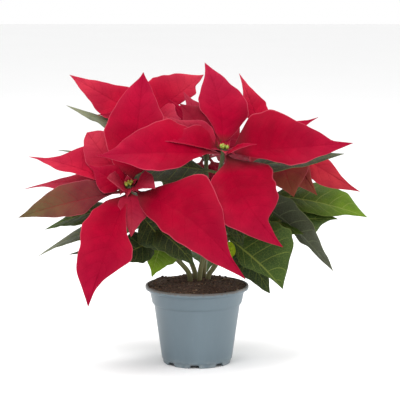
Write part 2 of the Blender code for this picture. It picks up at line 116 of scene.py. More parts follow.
PLAIN_HALF = half(10, 0, 20, 62, 35, 100, 51, 93, 67, 55, 83, 18)
LEAF_HALF = half(20, 0, 30, 60, 43, 98, 57, 96, 72, 66, 87, 28)
BRACT = (PLAIN_HALF, PLAIN_HALF)
LEAF = (LEAF_HALF, LEAF_HALF)
LEAF_FOLD = 11

# The plainly seen blades have their own outlines: bracts of the front right, front left and back heads, and
# then green leaves.
RIGHT_TOP = (
    half(10, 0, 18, 20, 26, 30, 37, 48, 49, 66, 60, 66, 67, 57, 86, 18),
    half(10, 0, 17, 30, 25, 50, 34, 75, 40, 95, 48, 93, 58, 82, 67, 65, 82, 42, 91, 17),
)
RIGHT_OUTWARD = (
    half(4, 0, 9, 65, 20, 102, 32, 113, 43, 105, 54, 85, 70, 50, 84, 12),
    half(6, 0, 17, 13, 29, 26, 44, 50, 53, 67, 65, 61, 74, 38, 86, 19),
)
RIGHT_LOW = (
    half(4, 20, 10, 85, 20, 115, 28, 120, 38, 108, 50, 106, 61, 97, 67, 70, 73, 24, 83, 15, 93, 5),
    half(7, 0, 13, 27, 21, 60, 27, 80, 40, 95, 61, 105, 67, 88, 73, 66, 85, 32, 93, 16),
)
RIGHT_ACROSS = (
    half(10, 0, 18, 15, 28, 30, 39, 60, 48, 69, 67, 76, 79, 41, 91, 11),
    half(7, 0, 12, 55, 24, 92, 36, 102, 49, 92, 57, 80, 66, 68, 74, 51, 81, 31, 93, 6),
)
RIGHT_INNER = (
    half(10, 0, 40, 14, 70, 16, 88, 13),
    half(2, 10, 7, 85, 16, 115, 27, 125, 41, 113, 63, 72, 82, 15),
)
LEFT_TOP = (
    half(8, 0, 18, 60, 29, 84, 38, 98, 46, 99, 62, 86, 80, 50, 91, 22, 95, 8),
    half(8, 0, 22, 60, 42, 78, 61, 76, 74, 55, 90, 24, 94, 12),
)
LEFT_OUTWARD = (
    half(8, 0, 16, 12, 30, 22, 52, 28, 65, 38, 79, 22, 90, 6),
    half(8, 0, 20, 70, 36, 105, 50, 108, 58, 84, 64, 62, 72, 33, 83, 8),
)
LEFT_TURNING = (
    half(10, 0, 20, 12, 28, 28, 41, 67, 63, 58, 85, 21),
    half(8, 0, 15, 50, 34, 87, 48, 84, 67, 75, 83, 44, 93, 14),
)
LEFT_FRONT = (
    half(7, 0, 14, 30, 21, 58, 28, 95, 37, 119, 46, 97, 57, 82, 69, 42, 77, 18, 85, 4),
    half(4, 0, 10, 30, 18, 47, 27, 54, 40, 71, 51, 68, 63, 63, 74, 50, 85, 30, 91, 17, 96, 7),
)
LEFT_LOW = (
    half(6, 0, 13, 12, 25, 22, 36, 36, 44, 55, 52, 84, 60, 88, 70, 56, 79, 24, 88, 5),
    half(4, 0, 12, 56, 25, 89, 43, 99, 56, 89, 67, 81, 75, 77, 82, 64, 87, 49, 95, 19),
)
LEFT_HUB = (
    half(6, 0, 20, 70, 45, 110, 70, 80, 88, 30),
    half(4, 0, 12, 120, 30, 180, 55, 160, 75, 100, 90, 40),
)
LEFT_BLUNT = (half(10, 0, 30, 70, 60, 90, 82, 60, 95, 28), half(10, 0, 30, 80, 60, 105, 84, 90, 95, 55))
LEFT_SMALL = (half(6, 0, 15, 70, 35, 125, 60, 115, 80, 50), half(6, 0, 20, 80, 40, 100, 70, 60))
RIGHT_BUD = (
    half(8, 0, 20, 90, 45, 140, 65, 100, 85, 30),
    half(5, 0, 15, 90, 40, 160, 62, 160, 80, 100, 93, 30),
)
LEFT_INNER = (half(3, 80, 10, 145, 30, 160, 50, 145, 70, 105, 88, 45), half(10, 20, 40, 35, 70, 20))
BACK_LEFT = (
    half(10, 0, 25, 90, 38, 110, 48, 100, 62, 68, 77, 47, 92, 12),
    half(10, 0, 20, 80, 36, 107, 46, 85, 62, 64, 78, 37, 91, 15),
)
BACK_TOP = (
    half(6, 0, 16, 85, 32, 110, 48, 102, 61, 86, 77, 56, 90, 22, 95, 8),
    half(6, 0, 17, 26, 40, 30, 53, 32, 71, 42, 78, 14, 89, 10),
)
BACK_RIGHT = (half(10, 0, 30, 70, 50, 50, 68, 24, 82, 9), half(10, 0, 25, 85, 42, 95, 55, 64, 73, 35, 87, 15))
BACK_EMBER = (
    half(10, 0, 35, 50, 50, 68, 61, 67, 70, 44, 77, 25, 89, 6),
    half(10, 0, 40, 40, 50, 72, 64, 90, 72, 72, 81, 45, 91, 18),
)
BACK_OLIVE = (
    half(10, 0, 30, 80, 55, 125, 75, 90, 90, 30),
    half(10, 0, 25, 80, 42, 130, 58, 130, 72, 90, 88, 30),
)
BACK_SMALL = (PLAIN_HALF, half(10, 0, 30, 80, 50, 120, 72, 105, 88, 40))
GREEN_SHADE = (
    half(15, 0, 25, 80, 40, 125, 60, 125, 78, 110, 90, 80, 97, 40),
    half(15, 0, 30, 60, 43, 98, 57, 96, 72, 66, 87, 28),
)
GREEN_THIN = (
    half(20, 0, 35, 75, 50, 80, 62, 55, 70, 60, 87, 25),
    half(20, 0, 35, 60, 50, 55, 70, 35, 87, 15),
)
GREEN_BRIGHT = (
    half(20, 0, 35, 70, 57, 95, 71, 88, 82, 84, 87, 62, 94, 30),
    half(20, 0, 35, 60, 51, 69, 68, 58, 81, 25, 92, 9),
)
GREEN_LOBED = (
    half(20, 0, 35, 70, 55, 90, 70, 80, 84, 50, 95, 20),
    half(20, 0, 35, 100, 50, 105, 60, 95, 71, 110, 78, 80, 83, 30, 92, 6),
)
GREEN_BACK = (
    half(20, 0, 30, 12, 48, 18, 59, 42, 68, 27, 81, 26, 91, 12),
    half(7, 0, 15, 75, 24, 105, 32, 112, 44, 112, 53, 98, 65, 90, 73, 75, 84, 56, 91, 42, 96, 19),
)
GREEN_LOW = (half(20, 0, 40, 50, 60, 50, 78, 42, 90, 19), half(20, 0, 37, 115, 57, 96, 79, 49, 94, 18))
GREEN_LARGE = (
    half(20, 0, 30, 80, 42, 115, 55, 130, 67, 122, 77, 105, 87, 66, 94, 26),
    half(33, 0, 42, 22, 52, 36, 60, 34, 74, 16, 83, 6),
)
GREEN_SMALL = (
    half(10, 0, 20, 90, 28, 125, 42, 115, 59, 74, 82, 24),
    half(10, 0, 24, 45, 40, 64, 65, 47, 82, 14),
)

# Each tint is the colour of a blade's petiole, of its middle and of its tip. The red tints' paler, pinker tips
# are painted highlight.
TINTS = {
    "crimson": ((0.11, 0.017, 0.017), (0.282, 0.0002, 0.0155), (0.305, 0.004, 0.026)),
    "heart": ((0.03, 0.026, 0.010), (0.275, 0.0004, 0.017), (0.30, 0.010, 0.034)),
    # Painted light: the far bracts' lighter, pinker red stands in for light shining through them from behind.
    "far": ((0.11, 0.026, 0.017), (0.345, 0.004, 0.023), (0.40, 0.026, 0.048)),
    # Painted shade: a darker red for blades that stand in shade behind the front bracts and in the heads'
    # middles.
    "shaded_red": ((0.10, 0.017, 0.017), (0.21, 0.0004, 0.014), (0.23, 0.001, 0.017)),
    "rose": ((0.14, 0.026, 0.017), (0.31, 0.010, 0.030), (0.35, 0.030, 0.050)),
    "bud": ((0.086, 0.05, 0.017), (0.21, 0.005, 0.019), (0.22, 0.010, 0.021)),
    "turning": ((0.10, 0.045, 0.026), (0.135, 0.024, 0.024), (0.10, 0.088, 0.035)),
    "ember": ((0.12, 0.043, 0.017), (0.345, 0.012, 0.022), (0.37, 0.030, 0.040)),
    "olive": ((0.086, 0.043, 0.017), (0.27, 0.010, 0.022), (0.17, 0.050, 0.026)),
    "dark": ((0.046, 0.064, 0.018), (0.018, 0.032, 0.009), (0.022, 0.038, 0.010)),
    "green": ((0.064, 0.083, 0.018), (0.026, 0.050, 0.008), (0.036, 0.069, 0.008)),
    "bright": ((0.064, 0.083, 0.018), (0.036, 0.064, 0.005), (0.105, 0.19, 0.002)),
    # Painted light: a bright green that stands in for light shining through a thin leaf from behind.
    "backlit_green": ((0.092, 0.12, 0.018), (0.095, 0.165, 0.003), (0.135, 0.24, 0.002)),
    "lime": ((0.11, 0.15, 0.009), (0.27, 0.37, 0.002), (0.29, 0.40, 0.002)),
    "grey": ((0.064, 0.083, 0.028), (0.036, 0.043, 0.022), (0.055, 0.060, 0.036)),
    "pale": ((0.092, 0.11, 0.046), (0.10, 0.105, 0.070), (0.17, 0.175, 0.115)),
}


class Blade(NamedTuple):
    """One leaf or bract: tip, width, midrib bow and sideways sway in mm, and the way its upper side looks.

    Its outline is the midrib's left half and then its right, and its fold is in degrees.
    """

    tint: str
    tip: tuple
    width: float
    bow: float
    face: tuple
    fold: float = 9
    outline: tuple = BRACT
    sway: float = 0


class Leaf(NamedTuple):
    """A green leaf: the stem node that it grows from, counted up from 0 at the soil, and its blade."""

    node: int
    blade: Blade


class Branch(NamedTuple):
    """One stem with its foot in the soil, its nodes and the middle of its head, all in mm."""

    foot: tuple
    nodes: tuple
    hub: tuple
    bracts: tuple
    leaves: tuple


def leaf(tint, node, tip, width, bow, face, outline=LEAF):
    return Leaf(node, Blade(tint, tip, width, bow, face, LEAF_FOLD, outline))


BRANCHES = {
    "front_right": Branch(
        foot=(3, -2),
        nodes=((8, -4, 127), (15, -8, 159), (21, -12, 193), (26, -16, 224)),
        hub=(29, -18, 241),
        bracts=(
            Blade("heart", (9, 45, 346), 72, 4, (0.25, -1.0, 0.3), 12, RIGHT_TOP, 7),
            Blade("crimson", (175, -60, 264), 82, 2, (0.0, -0.7, 0.7), 24, RIGHT_OUTWARD),
            Blade("crimson", (96, -84, 150), 78, 6, (0.3, -0.85, 0.4), 12, RIGHT_LOW, 12),
            Blade("crimson", (-112, -85, 253), 80, 4, (0.0, -0.7, 0.7), 24, RIGHT_ACROSS),
            Blade("crimson", (-46, -45, 266), 44, 5, (0.0, -0.5, 0.85), 28, RIGHT_INNER),
            Blade("bud", (-20, 25, 300), 30, 4, (0.2, -0.85, 0.5), 9, RIGHT_BUD),
            Blade("rose", (-34, -6, 288), 40, 4, (0.0, -0.85, 0.5)),
            Blade("crimson", (67, -62, 263), 16, 4, (0.0, -0.6, 0.8)),
        ),
        leaves=(
            leaf("grey", 3, (-82, -30, 231), 50, 8, (0.0, -0.6, 0.8), GREEN_SHADE),
            leaf("green", 1, (98, -42, 94), 82, 16, (0.25, -0.9, 0.35), GREEN_LARGE),
            leaf("dark", 2, (52, -50, 144), 36, 8, (0.3, -0.7, 0.6)),
            leaf("grey", 3, (169, -12, 246), 36, 3, (0.0, -0.5, 0.85)),
        ),
    ),
    "front_left": Branch(
        foot=(-8, 0),
        nodes=((-22, -8, 122), (-40, -21, 147), (-58, -35, 168), (-70, -46, 188)),
        hub=(-74, -50, 204),
        bracts=(
            Blade("crimson", (-62, 20, 337), 74, 4, (0.0, -1.0, 0.35), 12, LEFT_TOP),
            Blade("far", (-194, 0, 241), 64, 9, (0.0, -0.6, 0.8), 20, LEFT_OUTWARD),
            Blade("rose", (-202, 30, 199), 40, 10, (0.0, -0.4, 0.9)),
            Blade("turning", (-202, -50, 178), 54, 6, (0.0, -0.82, 0.57), 18, LEFT_TURNING),
            Blade("crimson", (54, -115, 119), 90, 25, (0.22, -0.88, 0.42), 12, LEFT_FRONT, -6),
            Blade("crimson", (-119, -132, 92), 70, 22, (-0.15, -0.9, 0.35), 12, LEFT_LOW, -4),
            Blade("rose", (-73, -92, 163), 30, 8, (0.2, -0.85, 0.5), 9, LEFT_SMALL),
            Blade("rose", (-46, -86, 216), 28, 5, (0.1, -0.75, 0.6), 9, LEFT_INNER),
            Blade("rose", (-100, -82, 228), 20, 2, (0.0, -0.6, 0.8), 9, LEFT_HUB),
            Blade("far", (-126, -8, 270), 50, 2, (0.0, -0.85, 0.5), 9, LEFT_BLUNT),
            Blade("crimson", (-123, -36, 236), 40, 3, (0.0, -0.8, 0.6)),
        ),
        leaves=(
            leaf("dark", 2, (-3, -62, 125), 46, 10, (0.3, -0.8, 0.6)),
            leaf("dark", 1, (-98, -60, 128), 40, 10, (-0.1, -0.9, 0.4)),
            leaf("backlit_green", 1, (-52, -22, 104), 40, 4, (-0.2, -0.9, 0.3), GREEN_SMALL),
            leaf("green", 3, (-176, 0, 156), 40, 8, (0.0, -0.5, 0.85)),
            leaf("pale", 2, (-186, 20, 121), 36, 12, (0.0, -0.4, 0.9)),
            leaf("grey", 0, (-150, 20, 123), 34, 12, (0.0, -0.3, 1.0)),
        ),
    ),
    "back_left": Branch(
        foot=(-2, 11),
        nodes=((-11, 20, 124), (-24, 32, 160), (-38, 44, 205), (-52, 56, 248)),
        hub=(-57, 60, 274),
        bracts=(
            Blade("far", (-152, 90, 328), 46, 0, (0.0, -0.85, 0.5), 9, BACK_LEFT),
            Blade("shaded_red", (-117, 44, 285), 26, 2, (0.0, -0.6, 0.8)),
            Blade("far", (8, 106, 327), 66, 2, (0.0, -0.95, 0.35), 9, BACK_TOP),
            Blade("crimson", (-100, 132, 262), 44, 10, (-0.2, 0.4, 0.9)),
            Blade("crimson", (-34, 133, 258), 44, 10, (0.0, 0.5, 0.85)),
            Blade("rose", (-18, 22, 282), 44, 4, (0.1, -0.8, 0.6)),
        ),
        leaves=(
            leaf("pale", 3, (-155, 74, 293), 26, 3, (0.0, -0.5, 0.85), GREEN_THIN),
            leaf("green", 2, (-167, 96, 237), 42, 8, (0.0, 0.1, 1.0)),
            leaf("green", 1, (-128, 118, 192), 46, 10, (-0.3, 0.5, 0.8)),
        ),
    ),
    "back_right": Branch(
        foot=(13, 4),
        nodes=((22, 9, 114), (40, 24, 151), (58, 40, 192), (72, 53, 234)),
        hub=(78, 58, 258),
        bracts=(
            Blade("far", (50, 86, 330), 38, 3, (0.25, -1.0, 0.3), 9, BACK_RIGHT),
            Blade("crimson", (145, 92, 277), 24, -3, (0.0, -0.6, 0.8)),
            Blade("ember", (191, 30, 196), 50, 6, (0.25, -0.75, 0.6), 9, BACK_EMBER, 6),
            Blade("olive", (111, -18, 197), 56, 8, (0.1, -0.85, 0.5), 9, BACK_OLIVE),
            Blade("olive", (139, 2, 196), 44, 8, (0.25, -0.8, 0.5), 9, BACK_SMALL),
            Blade("crimson", (122, 130, 240), 44, 12, (0.2, 0.5, 0.85)),
        ),
        leaves=(
            leaf("bright", 2, (202, 52, 162), 62, 10, (0.1, -0.65, 0.75), GREEN_BRIGHT),
            leaf("green", 1, (166, 32, 163), 54, 8, (0.0, -0.6, 0.8), GREEN_LOBED),
            leaf("grey", 2, (156, -32, 113), 56, 10, (0.6, 0.7, 0.4), GREEN_BACK),
            leaf("dark", 1, (85, -2, 81), 42, 5, (0.1, -0.85, 0.5), GREEN_LOW),
            leaf("green", 1, (150, 112, 175), 46, 14, (0.3, 0.4, 0.85)),
            leaf("lime", 0, (48, 14, 142), 22, 2, (-0.4, -0.9, 0.1)),
        ),
    ),
    "back": Branch(
        foot=(8, 15),
        nodes=((10, 28, 122), (11, 52, 151), (11, 78, 179), (11, 95, 204)),
        hub=(11, 99, 222),
        bracts=(
            Blade("crimson", (56, 124, 282), 50, 4, (0.2, 0.9, 0.4)),
            Blade("crimson", (-72, 116, 218), 54, 12, (-0.2, 0.6, 0.8)),
            Blade("crimson", (90, 118, 208), 54, 12, (0.2, 0.6, 0.8)),
            Blade("crimson", (-20, 122, 144), 58, 12, (-0.1, 0.9, 0.4)),
            Blade("crimson", (46, 122, 153), 50, 12, (0.2, 0.9, 0.4)),
        ),
        leaves=(
            leaf("green", 2, (-98, 108, 128), 46, 10, (-0.3, 0.5, 0.8)),
            leaf("dark", 1, (-50, 122, 100), 46, 14, (-0.2, 0.8, 0.5)),
            leaf("green", 1, (75, 122, 105), 46, 14, (0.3, 0.8, 0.5)),
            leaf("green", 0, (12, 112, 84), 42, 14, (0.0, 0.8, 0.6)),
        ),
    ),
}

# Small blades behind the large ones, which the solids leave out; the darker red ones are painted shade.
HIDDEN_BRACTS = {
    "front_right": (
        Blade("rose", (-16, 44, 312), 48, 3, (0.1, -0.95, 0.3)),
        Blade("shaded_red", (-34, 62, 302), 40, 3, (0.1, -0.95, 0.3)),
    ),
    "front_left": (Blade("shaded_red", (-40, 12, 246), 30, 3, (0.1, -0.9, 0.4)),),
}
HIDDEN_LEAVES = {
    "front_left": (leaf("dark", 3, (-28, -42, 136), 46, 3, (0.2, -0.95, 0.2)),),
}


class PotSettings(bpy.types.PropertyGroup):
    """The pot's plastic."""

    sides: IntProperty(name="Sides", description="Flat sides round the pot", default=112, min=32)
    edge_round: FloatProperty(
        name="Edge rounding", description="Radius of the notches' edges", default=0.25 * MM, unit="LENGTH"
    )
    colour: FloatVectorProperty(
        name="Plastic", description="Colour of the pot", subtype="COLOR", default=(0.108, 0.150, 0.176)
    )


class SoilSettings(bpy.types.PropertyGroup):
    """The peat that fills the pot."""

    edge_height: FloatProperty(
        name="Edge height", description="Soil's height at the pot's wall", default=91.1 * MM, unit="LENGTH"
    )
    mound_height: FloatProperty(
        name="Mound height", description="Soil's height round the stems", default=96.6 * MM, unit="LENGTH"
    )
    crumbs: IntProperty(name="Crumbs", description="Loose crumbs of peat on the soil", default=900, min=0)
    fibres: IntProperty(name="Fibres", description="Bits of root and straw on the soil", default=70, min=0)
    colour: FloatVectorProperty(
        name="Peat", description="Colour of the soil", subtype="COLOR", default=(0.062, 0.037, 0.024)
    )


class BladeSettings(bpy.types.PropertyGroup):
    """The leaves' and bracts' make-up."""

    rows: IntProperty(name="Rows", description="Faces along a blade", default=46, min=12)
    columns: IntProperty(name="Columns", description="Faces across a blade", default=20, min=6)
    thickness: FloatProperty(
        name="Petiole thickness", description="Thickness of a petiole", default=2.2 * MM, unit="LENGTH"
    )
    thin_share: FloatProperty(
        name="Blade share", description="Thickness of a blade to its petiole's", default=0.26, min=0.1, max=1
    )
    vein_pairs: IntProperty(name="Vein pairs", description="Side veins on each half", default=8, min=3)
    vein_depth: FloatProperty(
        name="Vein depth", description="How far the veins sink in", default=0.55 * MM, unit="LENGTH"
    )
    edge_wave: FloatProperty(
        name="Edge wave", description="Height of the edge's waves to the width", default=0.035, min=0
    )


class StudioSettings(bpy.types.PropertyGroup):
    """The camera, the lights and the floor."""

    elevation: FloatProperty(
        name="Elevation", description="Camera's angle down", default=math.radians(8.5), subtype="ANGLE"
    )
    distance: FloatProperty(name="Distance", description="From camera to plant", default=2.2, unit="LENGTH")
    view_width: FloatProperty(
        name="View width", description="Width of the view at the plant", default=0.462668, unit="LENGTH"
    )
    with_floor: BoolProperty(name="Floor", description="Lay a pale floor under the pot", default=True)


SETTINGS = {"pot": PotSettings, "soil": SoilSettings, "blades": BladeSettings, "studio": StudioSettings}


def settings(name):
    return getattr(bpy.context.scene, "poinsettia_" + name)


def deselect():
    if bpy.context.mode != "OBJECT":
        bpy.ops.object.mode_set(mode="OBJECT")
    bpy.ops.object.select_all(action="DESELECT")


def select(*things):
    """Selects these objects only, and makes the first of them active."""
    deselect()
    for thing in things:
        thing.select_set(True)
    bpy.context.view_layer.objects.active = things[0]


def join(things, name):
    """Joins objects into the first of them and names it."""
    select(*things)
    if len(things) > 1:
        bpy.ops.object.join()
    piece = bpy.context.object
    piece.name = name
    piece.data.name = name
    return piece


def apply_place(thing):
    """Moves an object's place, turn and scale into its mesh."""
    select(thing)
    bpy.ops.object.transform_apply(location=True, rotation=True, scale=True)


def add_modifier(thing, kind, **values):
    """Adds a modifier with these values and applies it."""
    modifier = thing.modifiers.new(kind.title(), kind)
    for key, value in values.items():
        setattr(modifier, key, value)
    select(thing)
    bpy.ops.object.modifier_apply(modifier=modifier.name)


def smooth(thing, degrees):
    select(thing)
    bpy.ops.object.shade_smooth_by_angle(angle=math.radians(degrees))


def hand_over(piece, node):
    """Lets a finished piece stand for its CAD node."""
    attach(piece, "root")
    if node:
        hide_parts(node)


class Paint:
    """Builds one material's nodes round its Principled BSDF."""

    def __init__(self, name, **values):
        self.material = bpy.data.materials.new(name)
        self.material.use_nodes = True
        self.tree = self.material.node_tree
        self.shader = self.tree.nodes["Principled BSDF"]
        for key, value in values.items():
            self.shader.inputs[key.replace("_", " ")].default_value = value

    def put(self, target, value):
        """Feeds an input from a socket, or sets its own value."""
        if isinstance(value, bpy.types.NodeSocket):
            self.tree.links.new(value, target)
        elif hasattr(target.default_value, "__len__") and len(target.default_value) == 4 and len(value) == 3:
            target.default_value = (*value, 1)
        else:
            target.default_value = value

    def node(self, kind, output=0, inputs=None, **values):
        made = self.tree.nodes.new("ShaderNode" + kind)
        for key, value in values.items():
            setattr(made, key, value)
        for key, value in (inputs or {}).items():
            self.put(made.inputs[key], value)
        return made.outputs[output]

    def maths(self, operation, *values):
        return self.node("Math", 0, dict(enumerate(values)), operation=operation)

    def ramp(self, value, low, high, to_low=0.0, to_high=1.0):
        """A smooth step of a value from to_low at low to to_high at high."""
        inputs = {"Value": value, "From Min": low, "From Max": high, "To Min": to_low, "To Max": to_high}
        return self.node("MapRange", 0, inputs, interpolation_type="SMOOTHSTEP")

    def mix(self, share, first, second, blend="MIX"):
        made = self.tree.nodes.new("ShaderNodeMix")
        made.data_type = "RGBA"
        made.blend_type = blend
        for index, value in ((0, share), (6, first), (7, second)):
            self.put(made.inputs[index], value)
        return made.outputs[2]

    def place(self, scale=(1, 1, 1)):
        """Object coordinates, stretched."""
        return self.node("Mapping", 0, {"Vector": self.node("TexCoord", 3), "Scale": scale})

    def height(self):
        """Height over the floor."""
        return self.node("SeparateXYZ", 2, {0: self.node("TexCoord", 3)})

    def noise(self, scale, detail=3.0, rough=0.55, stretch=(1, 1, 1)):
        inputs = {"Vector": self.place(stretch), "Scale": scale, "Detail": detail, "Roughness": rough}
        return self.node("TexNoise", 0, inputs)

    def cells(self, scale, feature="F1"):
        return self.node("TexVoronoi", 0, {"Vector": self.place(), "Scale": scale}, feature=feature)

    def colour(self, value):
        self.put(self.shader.inputs["Base Color"], value)

    def roughness(self, value):
        self.put(self.shader.inputs["Roughness"], value)

    def bump(self, height, distance, strength=1.0):
        inputs = {"Height": height, "Distance": distance, "Strength": strength}
        self.put(self.shader.inputs["Normal"], self.node("Bump", 0, inputs))


def vein_lines(paint, pairs):
    """How far across, and masks of the veins, net and edge, all from a blade's own UV map."""
    both = paint.tree.nodes.new("ShaderNodeSeparateXYZ")
    paint.put(both.inputs[0], paint.node("TexCoord", 2))
    across = paint.maths("ABSOLUTE", paint.maths("MULTIPLY_ADD", both.outputs[0], 2.0, -1.0))
    along = both.outputs[1]
    slant = paint.maths("MULTIPLY", paint.maths("POWER", across, VEIN_BEND), VEIN_SLANT)
    count = paint.maths("MULTIPLY", paint.maths("SUBTRACT", along, slant), float(pairs) + 1.0)
    away = paint.maths("PINGPONG", count, 0.5)
    side = paint.ramp(away, 0.012, 0.055, 1.0, 0.0)
    side = paint.maths("MULTIPLY", side, paint.ramp(across, 0.62, 0.98, 1.0, 0.0))
    middle = paint.ramp(across, 0.012, 0.05, 1.0, 0.0)
    lines = paint.maths("MAXIMUM", paint.maths("MULTIPLY", side, 0.75), middle)
    net = paint.ramp(paint.cells(330.0, "DISTANCE_TO_EDGE"), 0.0, 0.09, 1.0, 0.0)
    edge = paint.ramp(across, 0.955, 1.0)
    return across, lines, net, edge


def blade_paint(name, pairs, vein_colour, vein_share, edge_colour, edge_share, shade, **values):
    """A leaf's or bract's finish: its tint, cloudy shading, veins, fine net and pale edge, and a painted
    highlight that pales it a little towards its edges.
    """
    paint = Paint(name, **values)
    across, lines, net, edge = vein_lines(paint, pairs)
    tint = paint.node("Attribute", 0, attribute_name="tint")
    dark = paint.mix(1.0, tint, shade, "MULTIPLY")
    cloud = paint.ramp(paint.noise(34.0, 4.0), 0.35, 0.68)
    base = paint.mix(cloud, dark, tint)
    base = paint.mix(paint.maths("MULTIPLY", net, 0.16), base, vein_colour)
    base = paint.mix(paint.maths("MULTIPLY", lines, vein_share), base, vein_colour)
    # Painted highlight: from partway across, the colour pales a little towards the edge, added to the pale
    # edge.
    pale_edge_and_rim_highlight = paint.maths("MULTIPLY_ADD", edge, edge_share, paint.ramp(across, 0.4, 1.0, 0.0, 0.03))
    paint.colour(paint.mix(pale_edge_and_rim_highlight, base, edge_colour))
    paint.roughness(paint.ramp(paint.noise(90.0), 0.3, 0.7, 0.46, 0.66))
    relief = paint.maths("MULTIPLY_ADD", net, -0.25, paint.noise(420.0, 2.0))
    paint.bump(paint.maths("MULTIPLY_ADD", lines, -1.0, relief), 0.35 * MM, 0.55)


def finishes():
    """The blades' materials, made once and shared."""
    pairs = settings("blades").vein_pairs
    if "bract_face" not in bpy.data.materials:
        blade_paint(
            "bract_face", pairs, (0.20, 0.0, 0.012), 0.3, (0.52, 0.09, 0.13), 0.42, (0.78, 0.6, 0.8),
            Sheen_Weight=0.01, Sheen_Roughness=0.25, Sheen_Tint=(1.0, 0.4, 0.5, 1.0), Specular_IOR_Level=0.02,
        )
        blade_paint(
            "bract_underside", pairs, (0.42, 0.04, 0.07), 0.5, (0.55, 0.1, 0.13), 0.3, (0.85, 3.0, 1.5),
            Sheen_Weight=0.04, Sheen_Roughness=0.4, Sheen_Tint=(1.0, 0.6, 0.6, 1.0), Specular_IOR_Level=0.1,
        )
        blade_paint(
            "leaf_face", pairs, (0.21, 0.25, 0.045), 0.5, (0.16, 0.19, 0.05), 0.3, (0.66, 0.7, 0.7),
            Specular_IOR_Level=0.15,
        )
        blade_paint(
            "leaf_underside", pairs, (0.17, 0.2, 0.1), 0.5, (0.17, 0.19, 0.1), 0.3, (1.1, 1.1, 1.15),
            Specular_IOR_Level=0.2,
        )
        bark_paint()
    return bpy.data.materials


def bark_paint():
    """Young stem: browner below and green above, with fine lengthwise lines; the green is darker up under the
    heads, where it is painted shade.
    """
    paint = Paint("stem_bark", Specular_IOR_Level=0.35)
    # Painted shade: the stem's colour darkens upwards towards the bract heads.
    rise = paint.maths("MULTIPLY_ADD", paint.noise(60.0, 4.0), 0.05, paint.height())
    base = paint.mix(paint.ramp(rise, 0.115, 0.175), (0.17, 0.16, 0.06), (0.055, 0.075, 0.024))
    streak = paint.ramp(paint.noise(260.0, 3.0, 0.6, (1, 1, 0.12)), 0.42, 0.66)
    paint.colour(paint.mix(paint.maths("MULTIPLY", streak, 0.45), base, (0.07, 0.075, 0.03)))
    paint.roughness(paint.ramp(streak, 0.0, 1.0, 0.5, 0.7))
    paint.bump(streak, 0.3 * MM, 0.5)


def lathe(name, profile, sides):
    """Draws a closed body ring by ring: a disc is extruded and scaled to each (radius, height) in mm."""
    radius, height = profile[0]
    deselect()
    bpy.ops.mesh.primitive_circle_add(
        vertices=sides, radius=radius * MM, fill_type="NGON", location=(0, 0, height * MM)
    )
    thing = bpy.context.object
    apply_place(thing)
    bpy.ops.object.mode_set(mode="EDIT")
    bpy.ops.mesh.select_all(action="SELECT")
    for next_radius, next_height in profile[1:]:
        rise = {"value": (0, 0, (next_height - height) * MM)}
        bpy.ops.mesh.extrude_region_move(TRANSFORM_OT_translate=rise)
        share = next_radius / radius
        bpy.ops.transform.resize(value=(share, share, 1), center_override=(0, 0, next_height * MM))
        radius, height = next_radius, next_height
    bpy.ops.mesh.select_all(action="SELECT")
    bpy.ops.mesh.normals_make_consistent(inside=False)
    bpy.ops.object.mode_set(mode="OBJECT")
    thing.name = thing.data.name = name
    return thing


def around(radius, angle):
    """A point on a circle round the pot, with the angle counted from the front."""
    return Vector((radius * math.sin(angle), -radius * math.cos(angle), 0))


def cut(thing, cutter):
    """Takes one object out of another and removes it."""
    add_modifier(thing, "BOOLEAN", operation="DIFFERENCE", object=cutter)
    bpy.data.objects.remove(cutter, do_unlink=True)


